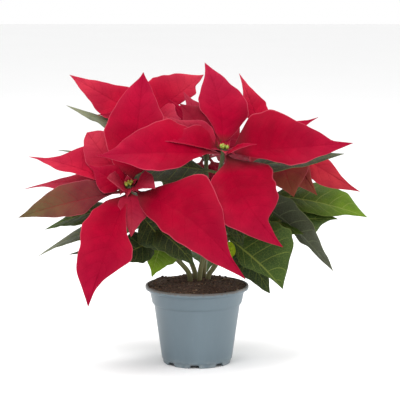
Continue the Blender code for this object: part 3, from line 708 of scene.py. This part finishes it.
class PotMaker(bpy.types.Operator):
    """Draw the pot on a lathe, and cut its foot's notches and its drain holes"""

    bl_idname = "poinsettia.make_pot"
    bl_label = "Make the pot"

    def execute(self, context):
        look = settings("pot")
        pot = lathe("nursery_pot", POT_OUTSIDE + POT_INSIDE, look.sides)
        cutters = []
        for i in range(NOTCHES):
            angle = NOTCH_TURN + TURN * i / NOTCHES
            deselect()
            place = around(NOTCH_CIRCLE, angle)
            bpy.ops.mesh.primitive_cube_add(size=1, location=place, rotation=(0, 0, angle))
            notch = context.object
            notch.scale = NOTCH_SIZE
            apply_place(notch)
            sideways = around(1, angle + TURN / 4)
            for vertex in notch.data.vertices:
                if vertex.co.z > 0:
                    vertex.co -= sideways * (vertex.co.dot(sideways) * 0.5)
            cutters.append(notch)
        for i in range(DRAIN_HOLES):
            place = around(DRAIN_CIRCLE, TURN * (i + 0.5) / DRAIN_HOLES) + Vector((0, 0, 5 * MM))
            deselect()
            bpy.ops.mesh.primitive_cylinder_add(
                vertices=20, radius=DRAIN_RADIUS, depth=6 * MM, location=place
            )
            apply_place(context.object)
            cutters.append(context.object)
        cut(pot, join(cutters, "cutters"))
        sharp = {"limit_method": "ANGLE", "angle_limit": math.radians(50)}
        add_modifier(pot, "BEVEL", width=look.edge_round, segments=2, **sharp)
        smooth(pot, 40)
        pot.data.materials.clear()
        pot.data.materials.append(self.plastic(look.colour))
        hand_over(pot, "pot")
        return {"FINISHED"}

    def plastic(self, colour):
        """Blue-grey moulded plastic with faint flow marks, a little dust low down and soil on its rim."""
        paint = Paint("pot_plastic_finish", Specular_IOR_Level=0.5)
        colour = tuple(colour)
        flow = paint.ramp(paint.noise(24.0, 4.0, 0.6, (1, 1, 0.18)), 0.3, 0.7)
        base = paint.mix(flow, tuple(c * 0.93 for c in colour), tuple(c * 1.05 for c in colour))
        height = paint.height()
        low = paint.ramp(height, 0.0, 0.012, 0.35, 0.0)
        dust = paint.maths("MULTIPLY", low, paint.ramp(paint.noise(180.0, 4.0), 0.35, 0.65))
        base = paint.mix(dust, base, (0.33, 0.34, 0.33))
        ragged = paint.maths("MULTIPLY_ADD", paint.noise(300.0, 4.0), 0.005, height)
        soiled = paint.maths("MULTIPLY", paint.ramp(ragged, 0.0905, 0.0930), 0.85)
        base = paint.mix(soiled, base, (0.085, 0.068, 0.052))
        scuff = paint.ramp(paint.noise(700.0, 2.0, 0.5, (1, 1, 0.1)), 0.64, 0.78, 0.0, 0.04)
        paint.colour(paint.mix(scuff, base, (0.42, 0.46, 0.49)))
        paint.roughness(paint.ramp(flow, 0.0, 1.0, 0.36, 0.46))
        paint.bump(paint.noise(900.0, 2.0), 0.03 * MM, 0.3)
        return paint.material


class SoilMaker(bpy.types.Operator):
    """Fill the pot with lumpy peat, and strew crumbs and fibres over it"""

    bl_idname = "poinsettia.make_soil"
    bl_label = "Make the soil"

    def height_at(self, x, y):
        """The soil's height at a place: a low mound with a clump at the left back, lumps and grains."""
        look = settings("soil")
        share = math.hypot(x, y) / (57 * MM)
        fall = min(1, max(0, (share - 0.6) / 0.4))
        fall = fall * fall * (3 - 2 * fall)
        height = look.mound_height + (look.edge_height - look.mound_height) * fall
        clump = math.hypot(x - CLUMP_X, y - CLUMP_Y) / CLUMP_WIDTH
        height += CLUMP_HEIGHT * math.exp(-clump * clump)
        lump = noise.fractal(Vector((x, y, 0)) * 45, 0.7, 2.2, 4) * 2.0 * MM
        grain = noise.fractal(Vector((x, y, 3)) * 260, 0.7, 2.0, 3) * 0.9 * MM
        return height + (lump + grain) * min(1, 6 * (1 - share)) - 0.3 * MM

    def execute(self, context):
        look = settings("soil")
        top = look.edge_height / MM
        rings = tuple((SOIL_RADIUS * (1 - i / SOIL_RINGS) + 0.01, top) for i in range(1, SOIL_RINGS))
        soil = lathe("peat_fill", (*SOIL_SIDE, (SOIL_RADIUS, top), *rings), 120)
        for vertex in soil.data.vertices:
            if vertex.co.z > look.edge_height - 0.01 * MM:
                vertex.co.z = self.height_at(vertex.co.x, vertex.co.y)
        smooth(soil, 60)
        soil.data.materials.clear()
        soil.data.materials.append(self.peat(look.colour))
        hand_over(soil, "soil")
        self.strew(context, soil)
        return {"FINISHED"}

    def strew(self, context, soil):
        """Copies one crumb and one fibre over the soil, each copy turned, stretched and sunk its own way."""
        look = settings("soil")
        draw = random.Random(7)
        deselect()
        bpy.ops.mesh.primitive_ico_sphere_add(subdivisions=1, radius=1)
        crumb = context.object
        deselect()
        bpy.ops.mesh.primitive_cylinder_add(vertices=5, radius=0.16, depth=2)
        fibre = context.object
        copies = []
        for kind in [crumb] * look.crumbs + [fibre] * look.fibres:
            angle, share = draw.uniform(0, TURN), math.sqrt(draw.random())
            place = around(CRUMB_REACH * share, angle)
            place.z = max(self.height_at(place.x, place.y), 91.3 * MM if share > 0.97 else 0)
            copy = kind.copy()
            copy.data = kind.data.copy()
            context.collection.objects.link(copy)
            turn = Matrix.Rotation(draw.uniform(0, TURN), 4, "Z")
            if kind is crumb:
                size = draw.uniform(0.4, 1.0) + (draw.uniform(0.5, 1.5) if draw.random() < 0.18 else 0)
                for vertex in copy.data.vertices:
                    vertex.co *= draw.uniform(0.72, 1.28)
                stretch = Vector((size, size * draw.uniform(0.6, 1), size * draw.uniform(0.45, 0.8)))
            else:
                turn = turn @ Matrix.Rotation(draw.uniform(1.35, 1.75), 4, "X")
                stretch = Vector((1, 1, draw.uniform(1.6, 4.2)))
                place.z += 0.4 * MM
            copy.data.transform(Matrix.Translation(place) @ turn @ Matrix.Diagonal((*(stretch * MM), 1)))
            tone = copy.data.attributes.new("tone", "FLOAT", "POINT")
            peaty = kind is crumb and draw.random() < 0.93
            value = draw.uniform(0, 0.55) if peaty else draw.uniform(0.75, 1.0)
            tone.data.foreach_set("value", [value] * len(copy.data.vertices))
            copies.append(copy)
        bpy.data.objects.remove(crumb, do_unlink=True)
        bpy.data.objects.remove(fibre, do_unlink=True)
        loose = join(copies, "peat_crumbs")
        loose.data.materials.clear()
        loose.data.materials.append(self.crumb_paint())
        hand_over(loose, None)

    def crumb_paint(self):
        """Dark to brown crumbs and pale fibres, by each one's tone."""
        paint = Paint("peat_crumb_finish", Specular_IOR_Level=0.2, Roughness=0.9)
        tone = paint.node("Attribute", 2, attribute_name="tone")
        base = paint.mix(paint.ramp(tone, 0.0, 0.6), (0.024, 0.015, 0.010), (0.135, 0.078, 0.046))
        base = paint.mix(paint.ramp(tone, 0.72, 0.95), base, (0.26, 0.19, 0.12))
        pits = paint.ramp(paint.noise(1200.0, 3.0), 0.4, 0.7, 0.0, 0.5)
        paint.colour(paint.mix(pits, base, (0.03, 0.02, 0.014)))
        paint.bump(paint.noise(2400.0, 2.0), 0.2 * MM, 0.8)
        return paint.material

    def peat(self, colour):
        """Dark, crumbly peat with paler flecks."""
        paint = Paint("peat_finish", Specular_IOR_Level=0.2)
        colour = tuple(colour)
        grain = paint.noise(520.0, 5.0, 0.7)
        dark, pale = (tuple(channel * share for channel in colour) for share in (0.35, 1.7))
        base = paint.mix(paint.ramp(grain, 0.35, 0.7), dark, pale)
        fleck = paint.ramp(paint.cells(420.0), 0.0, 0.14, 1.0, 0.0)
        few = paint.ramp(paint.noise(210.0, 1.0), 0.60, 0.66)
        paint.colour(paint.mix(paint.maths("MULTIPLY", fleck, few), base, (0.24, 0.19, 0.14)))
        paint.roughness(paint.ramp(grain, 0.3, 0.8, 0.8, 1.0))
        paint.bump(paint.maths("ADD", grain, paint.cells(700.0)), 0.9 * MM, 1.0)
        return paint.material


def curve_between(a, b, start, end, share):
    """A point on the smooth curve from a to b that leaves a along start and reaches b along end."""
    s2, s3 = share * share, share**3
    return a * (2 * s3 - 3 * s2 + 1) + start * (s3 - 2 * s2 + share) + b * (3 * s2 - 2 * s3) + end * (s3 - s2)


def head_axis(branch):
    """The way that a head faces: on from its stem's last node through its hub."""
    return (Vector(branch.hub) - Vector(branch.nodes[-1])).normalized()


def stem_points(branch, steps=9):
    """The stem's middle line: straight up out of the soil, then one smooth curve through its nodes."""
    foot = Vector((branch.foot[0] * MM, branch.foot[1] * MM, STEM_OUT_OF_SOIL))
    knots = [foot] + [Vector(node) * MM for node in branch.nodes] + [Vector(branch.hub) * MM]
    slopes = [Vector((0, 0, (knots[1] - knots[0]).length))]
    slopes += [(after - before) / 2 for before, after in zip(knots, knots[2:])]
    slopes.append(knots[-1] - knots[-2])
    points = [Vector((foot.x, foot.y, STEM_FOOT)), foot]
    for i in range(len(knots) - 1):
        for step in range(1, steps + 1):
            points.append(curve_between(knots[i], knots[i + 1], slopes[i], slopes[i + 1], step / steps))
    return points + [points[-1] + head_axis(branch) * STEM_END]


def make_stem(branch, rough):
    """A bevelled curve, a little swollen at each node, turned into a mesh."""
    deselect()
    bpy.ops.curve.primitive_bezier_curve_add()
    stem = bpy.context.object
    curve = stem.data
    curve.splines.clear()
    curve.dimensions = "3D"
    curve.bevel_depth = 1
    curve.bevel_resolution = 4
    curve.use_fill_caps = True
    points = stem_points(branch)
    spline = curve.splines.new("POLY")
    spline.points.add(len(points) - 1)
    knees = [Vector(node) * MM for node in branch.nodes]
    for i, point in enumerate(points):
        swell = sum(math.exp(-(((point - knee).length / (4 * MM)) ** 2)) for knee in knees)
        radius = STEM_RADIUS - STEM_TAPER * i / (len(points) - 1)
        radius *= 1 + NODE_SWELL * swell + rough.uniform(-0.02, 0.02)
        spline.points[i].co = (*point, 1)
        spline.points[i].radius = radius * MM
    select(stem)
    bpy.ops.object.convert(target="MESH")
    stem = bpy.context.object
    weld(stem)
    dress(stem, Vector((0.13, 0.19, 0.045)), finishes()["stem_bark"])
    return stem


def weld(thing):
    """Closes a mesh's seams and turns its faces outwards."""
    select(thing)
    bpy.ops.object.mode_set(mode="EDIT")
    bpy.ops.mesh.select_all(action="SELECT")
    bpy.ops.mesh.remove_doubles(threshold=0.01 * MM)
    bpy.ops.mesh.normals_make_consistent(inside=False)
    bpy.ops.object.mode_set(mode="OBJECT")


def dress(thing, tint, *materials):
    """Gives a mesh its materials and one tint all over."""
    thing.data.materials.clear()
    for material in materials:
        thing.data.materials.append(material)
    attribute = thing.data.attributes.new("tint", "FLOAT_COLOR", "POINT")
    attribute.data.foreach_set("color", [*tint, 1.0] * len(thing.data.vertices))


def softened(outline, places, window):
    """An outline's width share at each place, with its corners rounded over a window to either side."""
    table = np.array(outline, float)
    reach = np.minimum(window, np.minimum(places, 1 - places))
    steps = np.linspace(-1, 1, 9)
    shares = [np.interp(places + step * reach, table[:, 0], table[:, 1]) for step in steps]
    return np.average(shares, axis=0, weights=1.1 - np.abs(steps))


def unit(vectors):
    """Rows of vectors, each one long."""
    return vectors / np.maximum(1e-12, np.linalg.norm(vectors, axis=1))[:, None]


def bend_grid(points, root, blade, look, draw):
    """Where a flat grid's points lie on the blade: x is across from -1 to 1 and y along from 0 to 1."""
    across, along = points[:, 0], points[:, 1]
    wide = blade.width * MM
    left, right = blade.outline
    share, gentle = (
        np.where(across < 0, softened(left, along, window), softened(right, along, window))
        for window in (EDGE_WINDOW, HEIGHT_WINDOW)
    )
    face = unit(np.array([blade.face], float))[0]
    tip = np.array(blade.tip, float) * MM
    chord = (tip - root) / np.linalg.norm(tip - root)
    lift = face - chord * face.dot(chord)
    lift /= np.linalg.norm(lift)
    control = (root + tip) / 2 + (lift * blade.bow + np.cross(chord, lift) * blade.sway) * (2 * MM)
    t = along[:, None]
    middle = root * (1 - t) ** 2 + control * (2 * t * (1 - t)) + tip * t**2
    run = unit((control - root) * (1 - t) + (tip - control) * t)
    normal = unit(face - run * (run @ face)[:, None])
    side = np.cross(run, normal)
    start = min(left[1][0], right[1][0])
    lively = 1.8 if blade.fold == LEAF_FOLD else 1.0
    ripple = 1 + 0.026 * lively * np.sin(TURN * (3.1 * along + draw.random()) + 2 * np.sign(across))
    ripple += 0.015 * lively * np.sin(TURN * (7.3 * along + draw.random()) + 2 * np.sign(across))
    stalk = 1.25 * MM * np.clip(1 - (along - start) / 0.12, 0.0, 1.0) + 0.25 * MM * (1 - along)
    half = np.maximum(stalk, share * wide / 2 * ripple)
    body = np.clip(gentle * 1.6, 0, 1)
    fold = (np.sqrt(across**2 + 0.012) - 0.11) * wide / 2 * gentle**2 * math.tan(math.radians(blade.fold))
    turn = TURN * 1.6 * along + np.where(across < 0, 0, 2)
    wave = look.edge_wave * wide * gentle * across**2 * np.sin(turn)
    flutter = TURN * 5.2 * along + draw.uniform(0, 6) + across
    fine = 0.012 * wide * gentle * np.abs(across) ** 3 * np.sin(flutter)
    droop = -0.05 * wide * body * np.abs(across) ** 4
    count = (along - VEIN_SLANT * np.abs(across) ** VEIN_BEND) * (look.vein_pairs + 1)
    beside = np.abs((count + 0.5) % 1 - 0.5)
    depth = min(look.vein_depth, 0.012 * wide)
    veins = -depth * np.exp(-((beside / 0.16) ** 2)) * np.clip(1.15 - np.abs(across), 0, 1)
    veins -= depth * 1.2 * np.exp(-((across / 0.07) ** 2))
    twist = draw.uniform(-0.05, 0.05) * wide * across * along * body
    height = fold + wave + fine + droop + veins * body + twist
    return middle + side * (across * half)[:, None] + normal * height[:, None], share


def tint_steps(blade):
    """The red, green and blue of a blade's tint at its petiole, twice at its middle, and at its tip."""
    petiole, middle, tip = TINTS[blade.tint]
    return zip(petiole, middle, middle, tip)


def make_blade(root, blade, look, draw, materials, detail=1.0):
    """A grid bent to the blade, with its tint, and a thickness weight that is whole on the petiole."""
    deselect()
    columns, rows = int(look.columns * detail), int(look.rows * detail)
    bpy.ops.mesh.primitive_grid_add(x_subdivisions=columns, y_subdivisions=rows, size=2, calc_uvs=True)
    thing = bpy.context.object
    mesh = thing.data
    flat = np.empty(len(mesh.vertices) * 3)
    mesh.vertices.foreach_get("co", flat)
    flat = flat.reshape(-1, 3)
    flat[:, 1] = (flat[:, 1] + 1) / 2
    placed, share = bend_grid(flat, np.array(root, float), blade, look, draw)
    mesh.vertices.foreach_set("co", placed.astype(np.float32).ravel())
    mesh.update()
    channels = [np.interp(flat[:, 1], (0.05, 0.2, 0.4, 0.9), channel) for channel in tint_steps(blade)]
    colours = np.column_stack(channels) * (1 + draw.uniform(-0.1, 0.08))
    attribute = mesh.attributes.new("tint", "FLOAT_COLOR", "POINT")
    attribute.data.foreach_set("color", np.column_stack((colours, np.ones(len(flat)))).ravel())
    for material in materials:
        mesh.materials.append(material)
    stalk = (1 - np.clip(share * 4, 0, 1)) * min(1, blade.width / 18)
    rib = np.exp(-((flat[:, 0] / 0.09) ** 2)) * (1 - 0.8 * flat[:, 1]) * 0.45
    weights = np.clip(np.maximum(look.thin_share, np.maximum(rib, stalk * (1 - flat[:, 1]))), 0, 1)
    group = thing.vertex_groups.new(name="thick")
    for i, weight in enumerate(weights):
        group.add([i], float(weight), "REPLACE")
    return thing


def thicken(piece, look):
    """Gives joined blades their thickness, with the underside in each blade's second material."""
    add_modifier(
        piece,
        "SOLIDIFY",
        thickness=look.thickness,
        offset=0,
        vertex_group="thick",
        thickness_vertex_group=0.0,
        material_offset=1,
        material_offset_rim=0,
    )
    piece.vertex_groups.clear()
    smooth(piece, 55)


class StemMaker(bpy.types.Operator):
    """Bend the stems and hang the green leaves on them"""

    bl_idname = "poinsettia.make_leafy_stems"
    bl_label = "Make the leafy stems"

    def execute(self, context):
        look = settings("blades")
        sides = [finishes()[name] for name in ("leaf_face", "leaf_underside")]
        for order, (name, branch) in enumerate(BRANCHES.items()):
            draw = random.Random(100 + order)
            blades = []
            for node, blade in branch.leaves + HIDDEN_LEAVES.get(name, ()):
                root = Vector(branch.nodes[node]) * MM
                blades.append(make_blade(root, blade, look, draw, sides))
            leaves = join(blades, "leaves")
            thicken(leaves, look)
            stem = make_stem(branch, draw)
            smooth(stem, 55)
            hand_over(join([leaves, stem], "leafy_stem_" + name), "stem_" + name)
        return {"FINISHED"}


class BractMaker(bpy.types.Operator):
    """Set each head's red bracts round its short core"""

    bl_idname = "poinsettia.make_bract_heads"
    bl_label = "Make the bract heads"

    def execute(self, context):
        look = settings("blades")
        sides = [finishes()[name] for name in ("bract_face", "bract_underside")]
        for order, (name, branch) in enumerate(BRANCHES.items()):
            draw = random.Random(200 + order)
            blades = []
            for blade in branch.bracts + HIDDEN_BRACTS.get(name, ()):
                root = self.root(branch, blade.tip, BRACT_RISE, BRACT_OFFSET)
                blades.append(make_blade(root, blade, look, draw, sides))
            for blade in self.young(branch, draw):
                root = self.root(branch, blade.tip, YOUNG_RISE, YOUNG_OFFSET)
                blades.append(make_blade(root, blade, look, draw, sides, 0.4))
            head = join(blades, "bracts")
            thicken(head, look)
            hand_over(join([head, self.core(branch)], "bract_head_" + name), "bracts_" + name)
        return {"FINISHED"}

    def root(self, branch, tip, rise, offset):
        """Where a bract leaves its head's core, on the side that its tip lies on."""
        axis = head_axis(branch)
        hub = Vector(branch.hub) * MM + axis * rise * MM
        out = Vector(tip) * MM - hub
        out = (out - axis * out.dot(axis)).normalized()
        return hub + out * offset * MM

    def young(self, branch, draw):
        """Small bracts that still unfold round the flower cups, each turned on by the golden angle."""
        axis = head_axis(branch)
        turn = axis.to_track_quat("Z", "Y").to_matrix()
        middle = Vector(branch.hub) + axis * YOUNG_RISE
        for i in range(YOUNG_BRACTS):
            length = draw.uniform(14, 22)
            out = turn @ around(1, GOLDEN_ANGLE * i + 0.6)
            upright = max(0, out.y)
            tip = middle + out * length * (1 - 0.45 * upright) + axis * (14 * upright + draw.uniform(-5, 1))
            face = axis - out * upright
            # Some young bracts take the darker red that is painted shade.
            tint = draw.choice(("bud", "rose", "shaded_red"))
            yield Blade(tint, tuple(tip), length * 0.48, bow=1.5, face=tuple(face), fold=14)

    def core(self, branch):
        """The short, green, many-noded end of the stem that the bracts' petioles leave."""
        axis = head_axis(branch)
        deselect()
        bpy.ops.mesh.primitive_cylinder_add(vertices=20, radius=CORE_RADIUS * MM, depth=CORE_LENGTH * MM)
        core = bpy.context.object
        bpy.ops.object.mode_set(mode="EDIT")
        bpy.ops.mesh.select_all(action="SELECT")
        bpy.ops.mesh.bevel(offset=0.8 * MM, segments=2)
        bpy.ops.mesh.subdivide(number_cuts=1)
        bpy.ops.object.mode_set(mode="OBJECT")
        for vertex in core.data.vertices:
            share = vertex.co.z / (CORE_LENGTH / 2 * MM)
            swell = 1 + 0.22 * share + 0.12 * math.cos(3 * math.pi * share)
            vertex.co.x *= swell
            vertex.co.y *= swell
        turn = axis.to_track_quat("Z", "Y").to_matrix().to_4x4()
        core.data.transform(Matrix.Translation(Vector(branch.hub) * MM + axis * CORE_RISE * MM) @ turn)
        dress(core, (0.10, 0.15, 0.04), finishes()["stem_bark"])
        smooth(core, 60)
        return core


class CupMaker(bpy.types.Operator):
    """Cluster the small yellow-green flower cups at each head's middle"""

    bl_idname = "poinsettia.make_flower_cups"
    bl_label = "Make the flower cups"

    def execute(self, context):
        green, gland, red = self.paints()
        for order, (name, branch) in enumerate(BRANCHES.items()):
            draw = random.Random(300 + order)
            axis = head_axis(branch)
            base = Vector(branch.hub) * MM + axis * CUP_RISE * MM
            turn = axis.to_track_quat("Z", "Y").to_matrix().to_4x4()
            things = []
            for i in range(CUPS):
                angle = TURN * i / (CUPS - 1)
                out = around(CUP_RING * MM, angle + draw.uniform(-0.2, 0.2)) if i else Vector((0, 0, 0))
                lean = Matrix.Rotation(0.3 if i else 0, 4, around(1, angle + TURN / 4))
                place = Matrix.Translation(base) @ turn @ Matrix.Translation(out) @ lean
                size = draw.uniform(0.85, 1.05)
                things += self.cup(place @ Matrix.Diagonal((size, size, size, 1)), draw, green, gland, red)
            hand_over(join(things, "flower_cups_" + name), "cyathia_" + name)
        return {"FINISHED"}

    def cup(self, place, draw, green, gland, red):
        """One cup: a small urn with an open mouth, a yellow gland at its side and red-tipped stamens."""
        deselect()
        middle = (0, 0, CUP_MIDDLE)
        bpy.ops.mesh.primitive_uv_sphere_add(segments=16, ring_count=10, radius=CUP_RADIUS, location=middle)
        urn = bpy.context.object
        urn.scale.z = CUP_STRETCH
        apply_place(urn)
        bpy.ops.object.mode_set(mode="EDIT")
        bpy.ops.mesh.select_all(action="DESELECT")
        bpy.ops.object.mode_set(mode="OBJECT")
        for face in urn.data.polygons:
            face.select = face.center.z > CUP_MOUTH
        bpy.ops.object.mode_set(mode="EDIT")
        bpy.ops.mesh.select_mode(type="FACE")
        bpy.ops.mesh.inset(thickness=0.2 * MM)
        bpy.ops.transform.translate(value=(0, 0, -0.9 * MM))
        bpy.ops.object.mode_set(mode="OBJECT")
        smooth(urn, 50)
        parts = [(urn, green)]
        deselect()
        bpy.ops.mesh.primitive_torus_add(
            major_segments=14, minor_segments=6, major_radius=0.75 * MM, minor_radius=0.34 * MM,
            location=(1.5 * MM, 0, 3.5 * MM), rotation=(0, 1.1, 0),
        )
        apply_place(bpy.context.object)
        smooth(bpy.context.object, 60)
        parts.append((bpy.context.object, gland))
        for i in range(4):
            angle = TURN * i / 4 + draw.uniform(-0.4, 0.4)
            top = around(0.65 * MM, angle) + Vector((0, 0, 5.3 * MM + draw.uniform(-0.4, 0.5) * MM))
            deselect()
            bpy.ops.mesh.primitive_ico_sphere_add(subdivisions=1, radius=0.36 * MM, location=top)
            apply_place(bpy.context.object)
            parts.append((bpy.context.object, red))
            deselect()
            below = top - Vector((0, 0, 0.8 * MM))
            bpy.ops.mesh.primitive_cylinder_add(vertices=6, radius=0.15 * MM, depth=1.5 * MM, location=below)
            apply_place(bpy.context.object)
            parts.append((bpy.context.object, gland))
        for thing, material in parts:
            thing.data.materials.clear()
            thing.data.materials.append(material)
            thing.data.transform(place)
        return [thing for thing, _ in parts]

    def paints(self):
        """The cup's green, the gland's yellow and the stamens' red."""
        made = []
        for name, low, high, rough in (
            ("cup_green", (0.16, 0.26, 0.03), (0.34, 0.44, 0.06), 0.42),
            ("cup_gland", (0.55, 0.42, 0.03), (0.72, 0.60, 0.07), 0.25),
            ("cup_stamen", (0.42, 0.02, 0.03), (0.62, 0.10, 0.05), 0.5),
        ):
            paint = Paint(name, Roughness=rough)
            cloud = paint.noise(700.0, 3.0)
            paint.colour(paint.mix(paint.ramp(cloud, 0.35, 0.65), low, high))
            paint.bump(cloud, 0.2 * MM, 0.4)
            made.append(paint.material)
        return made


class StageMaker(bpy.types.Operator):
    """Lay a pale floor, hang soft studio lights and set the camera"""

    bl_idname = "poinsettia.set_stage"
    bl_label = "Set the stage"

    def execute(self, context):
        look = settings("studio")
        scene = context.scene
        if look.with_floor:
            deselect()
            bpy.ops.mesh.primitive_plane_add(size=14, location=(0, 0, 0))
            floor = context.object
            floor.name = "studio_floor"
            paint = Paint("studio_floor_finish", Roughness=0.7, Specular_IOR_Level=0.2)
            paint.colour(paint.mix(paint.noise(3.0), (0.90, 0.90, 0.90), (0.92, 0.92, 0.92)))
            floor.data.materials.append(paint.material)
        world = bpy.data.worlds.new("studio_world")
        world.use_nodes = True
        back = world.node_tree.nodes["Background"]
        back.inputs["Color"].default_value = (1.0, 1.0, 1.0, 1.0)
        back.inputs["Strength"].default_value = 1.0
        scene.world = world
        self.softbox("key_light", (-0.7, -1.5, 2.0), 1.0, 32)
        self.softbox("fill_light", (1.6, -1.5, 0.9), 1.4, 7)
        self.softbox("top_light", (0.2, 0.3, 2.2), 1.2, 26)
        self.softbox("edge_light", (1.7, 0.8, 0.5), 0.8, 8)
        forward = Vector((0, math.cos(look.elevation), -math.sin(look.elevation)))
        place = PICTURE_MIDDLE - forward * look.distance
        deselect()
        bpy.ops.object.camera_add(location=place, rotation=(TURN / 4 - look.elevation, 0, 0))
        camera = context.object
        camera.name = "photo_camera"
        camera.data.sensor_width = SENSOR_WIDTH
        camera.data.lens = SENSOR_WIDTH / look.view_width * look.distance
        camera.data.clip_start = 0.01
        scene.camera = camera
        scene.view_settings.view_transform = "Standard"
        return {"FINISHED"}

    def softbox(self, name, place, size, power):
        """A square lamp that faces the plant's middle."""
        deselect()
        bpy.ops.object.light_add(type="AREA", location=place)
        light = bpy.context.object
        light.name = name
        light.data.size = size
        light.data.energy = power
        towards = PLANT_MIDDLE - Vector(place)
        light.rotation_euler = towards.to_track_quat("-Z", "Y").to_euler()


MAKERS = (PotMaker, SoilMaker, StemMaker, BractMaker, CupMaker, StageMaker)


class PoinsettiaPanel(bpy.types.Panel):
    """Lists the plant's makers and their settings"""

    bl_idname = "VIEW3D_PT_poinsettia"
    bl_label = "Poinsettia"
    bl_space_type = "VIEW_3D"
    bl_region_type = "UI"
    bl_category = "Poinsettia"

    def draw(self, context):
        for maker in MAKERS:
            self.layout.operator(maker.bl_idname)
        for name, group in SETTINGS.items():
            box = self.layout.box()
            box.label(text=group.__doc__)
            for key in group.__annotations__:
                box.prop(settings(name), key)


def register():
    for made in (*SETTINGS.values(), *MAKERS, PoinsettiaPanel):
        bpy.utils.register_class(made)
    for name, group in SETTINGS.items():
        setattr(bpy.types.Scene, "poinsettia_" + name, PointerProperty(type=group))


def unregister():
    for name in SETTINGS:
        delattr(bpy.types.Scene, "poinsettia_" + name)
    for made in (PoinsettiaPanel, *reversed(MAKERS), *SETTINGS.values()):
        bpy.utils.unregister_class(made)


def main():
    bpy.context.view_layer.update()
    register()
    bpy.ops.poinsettia.make_pot()
    bpy.ops.poinsettia.make_soil()
    bpy.ops.poinsettia.make_leafy_stems()
    bpy.ops.poinsettia.make_bract_heads()
    bpy.ops.poinsettia.make_flower_cups()
    bpy.ops.poinsettia.set_stage()


if __name__ == "__main__":
    main()
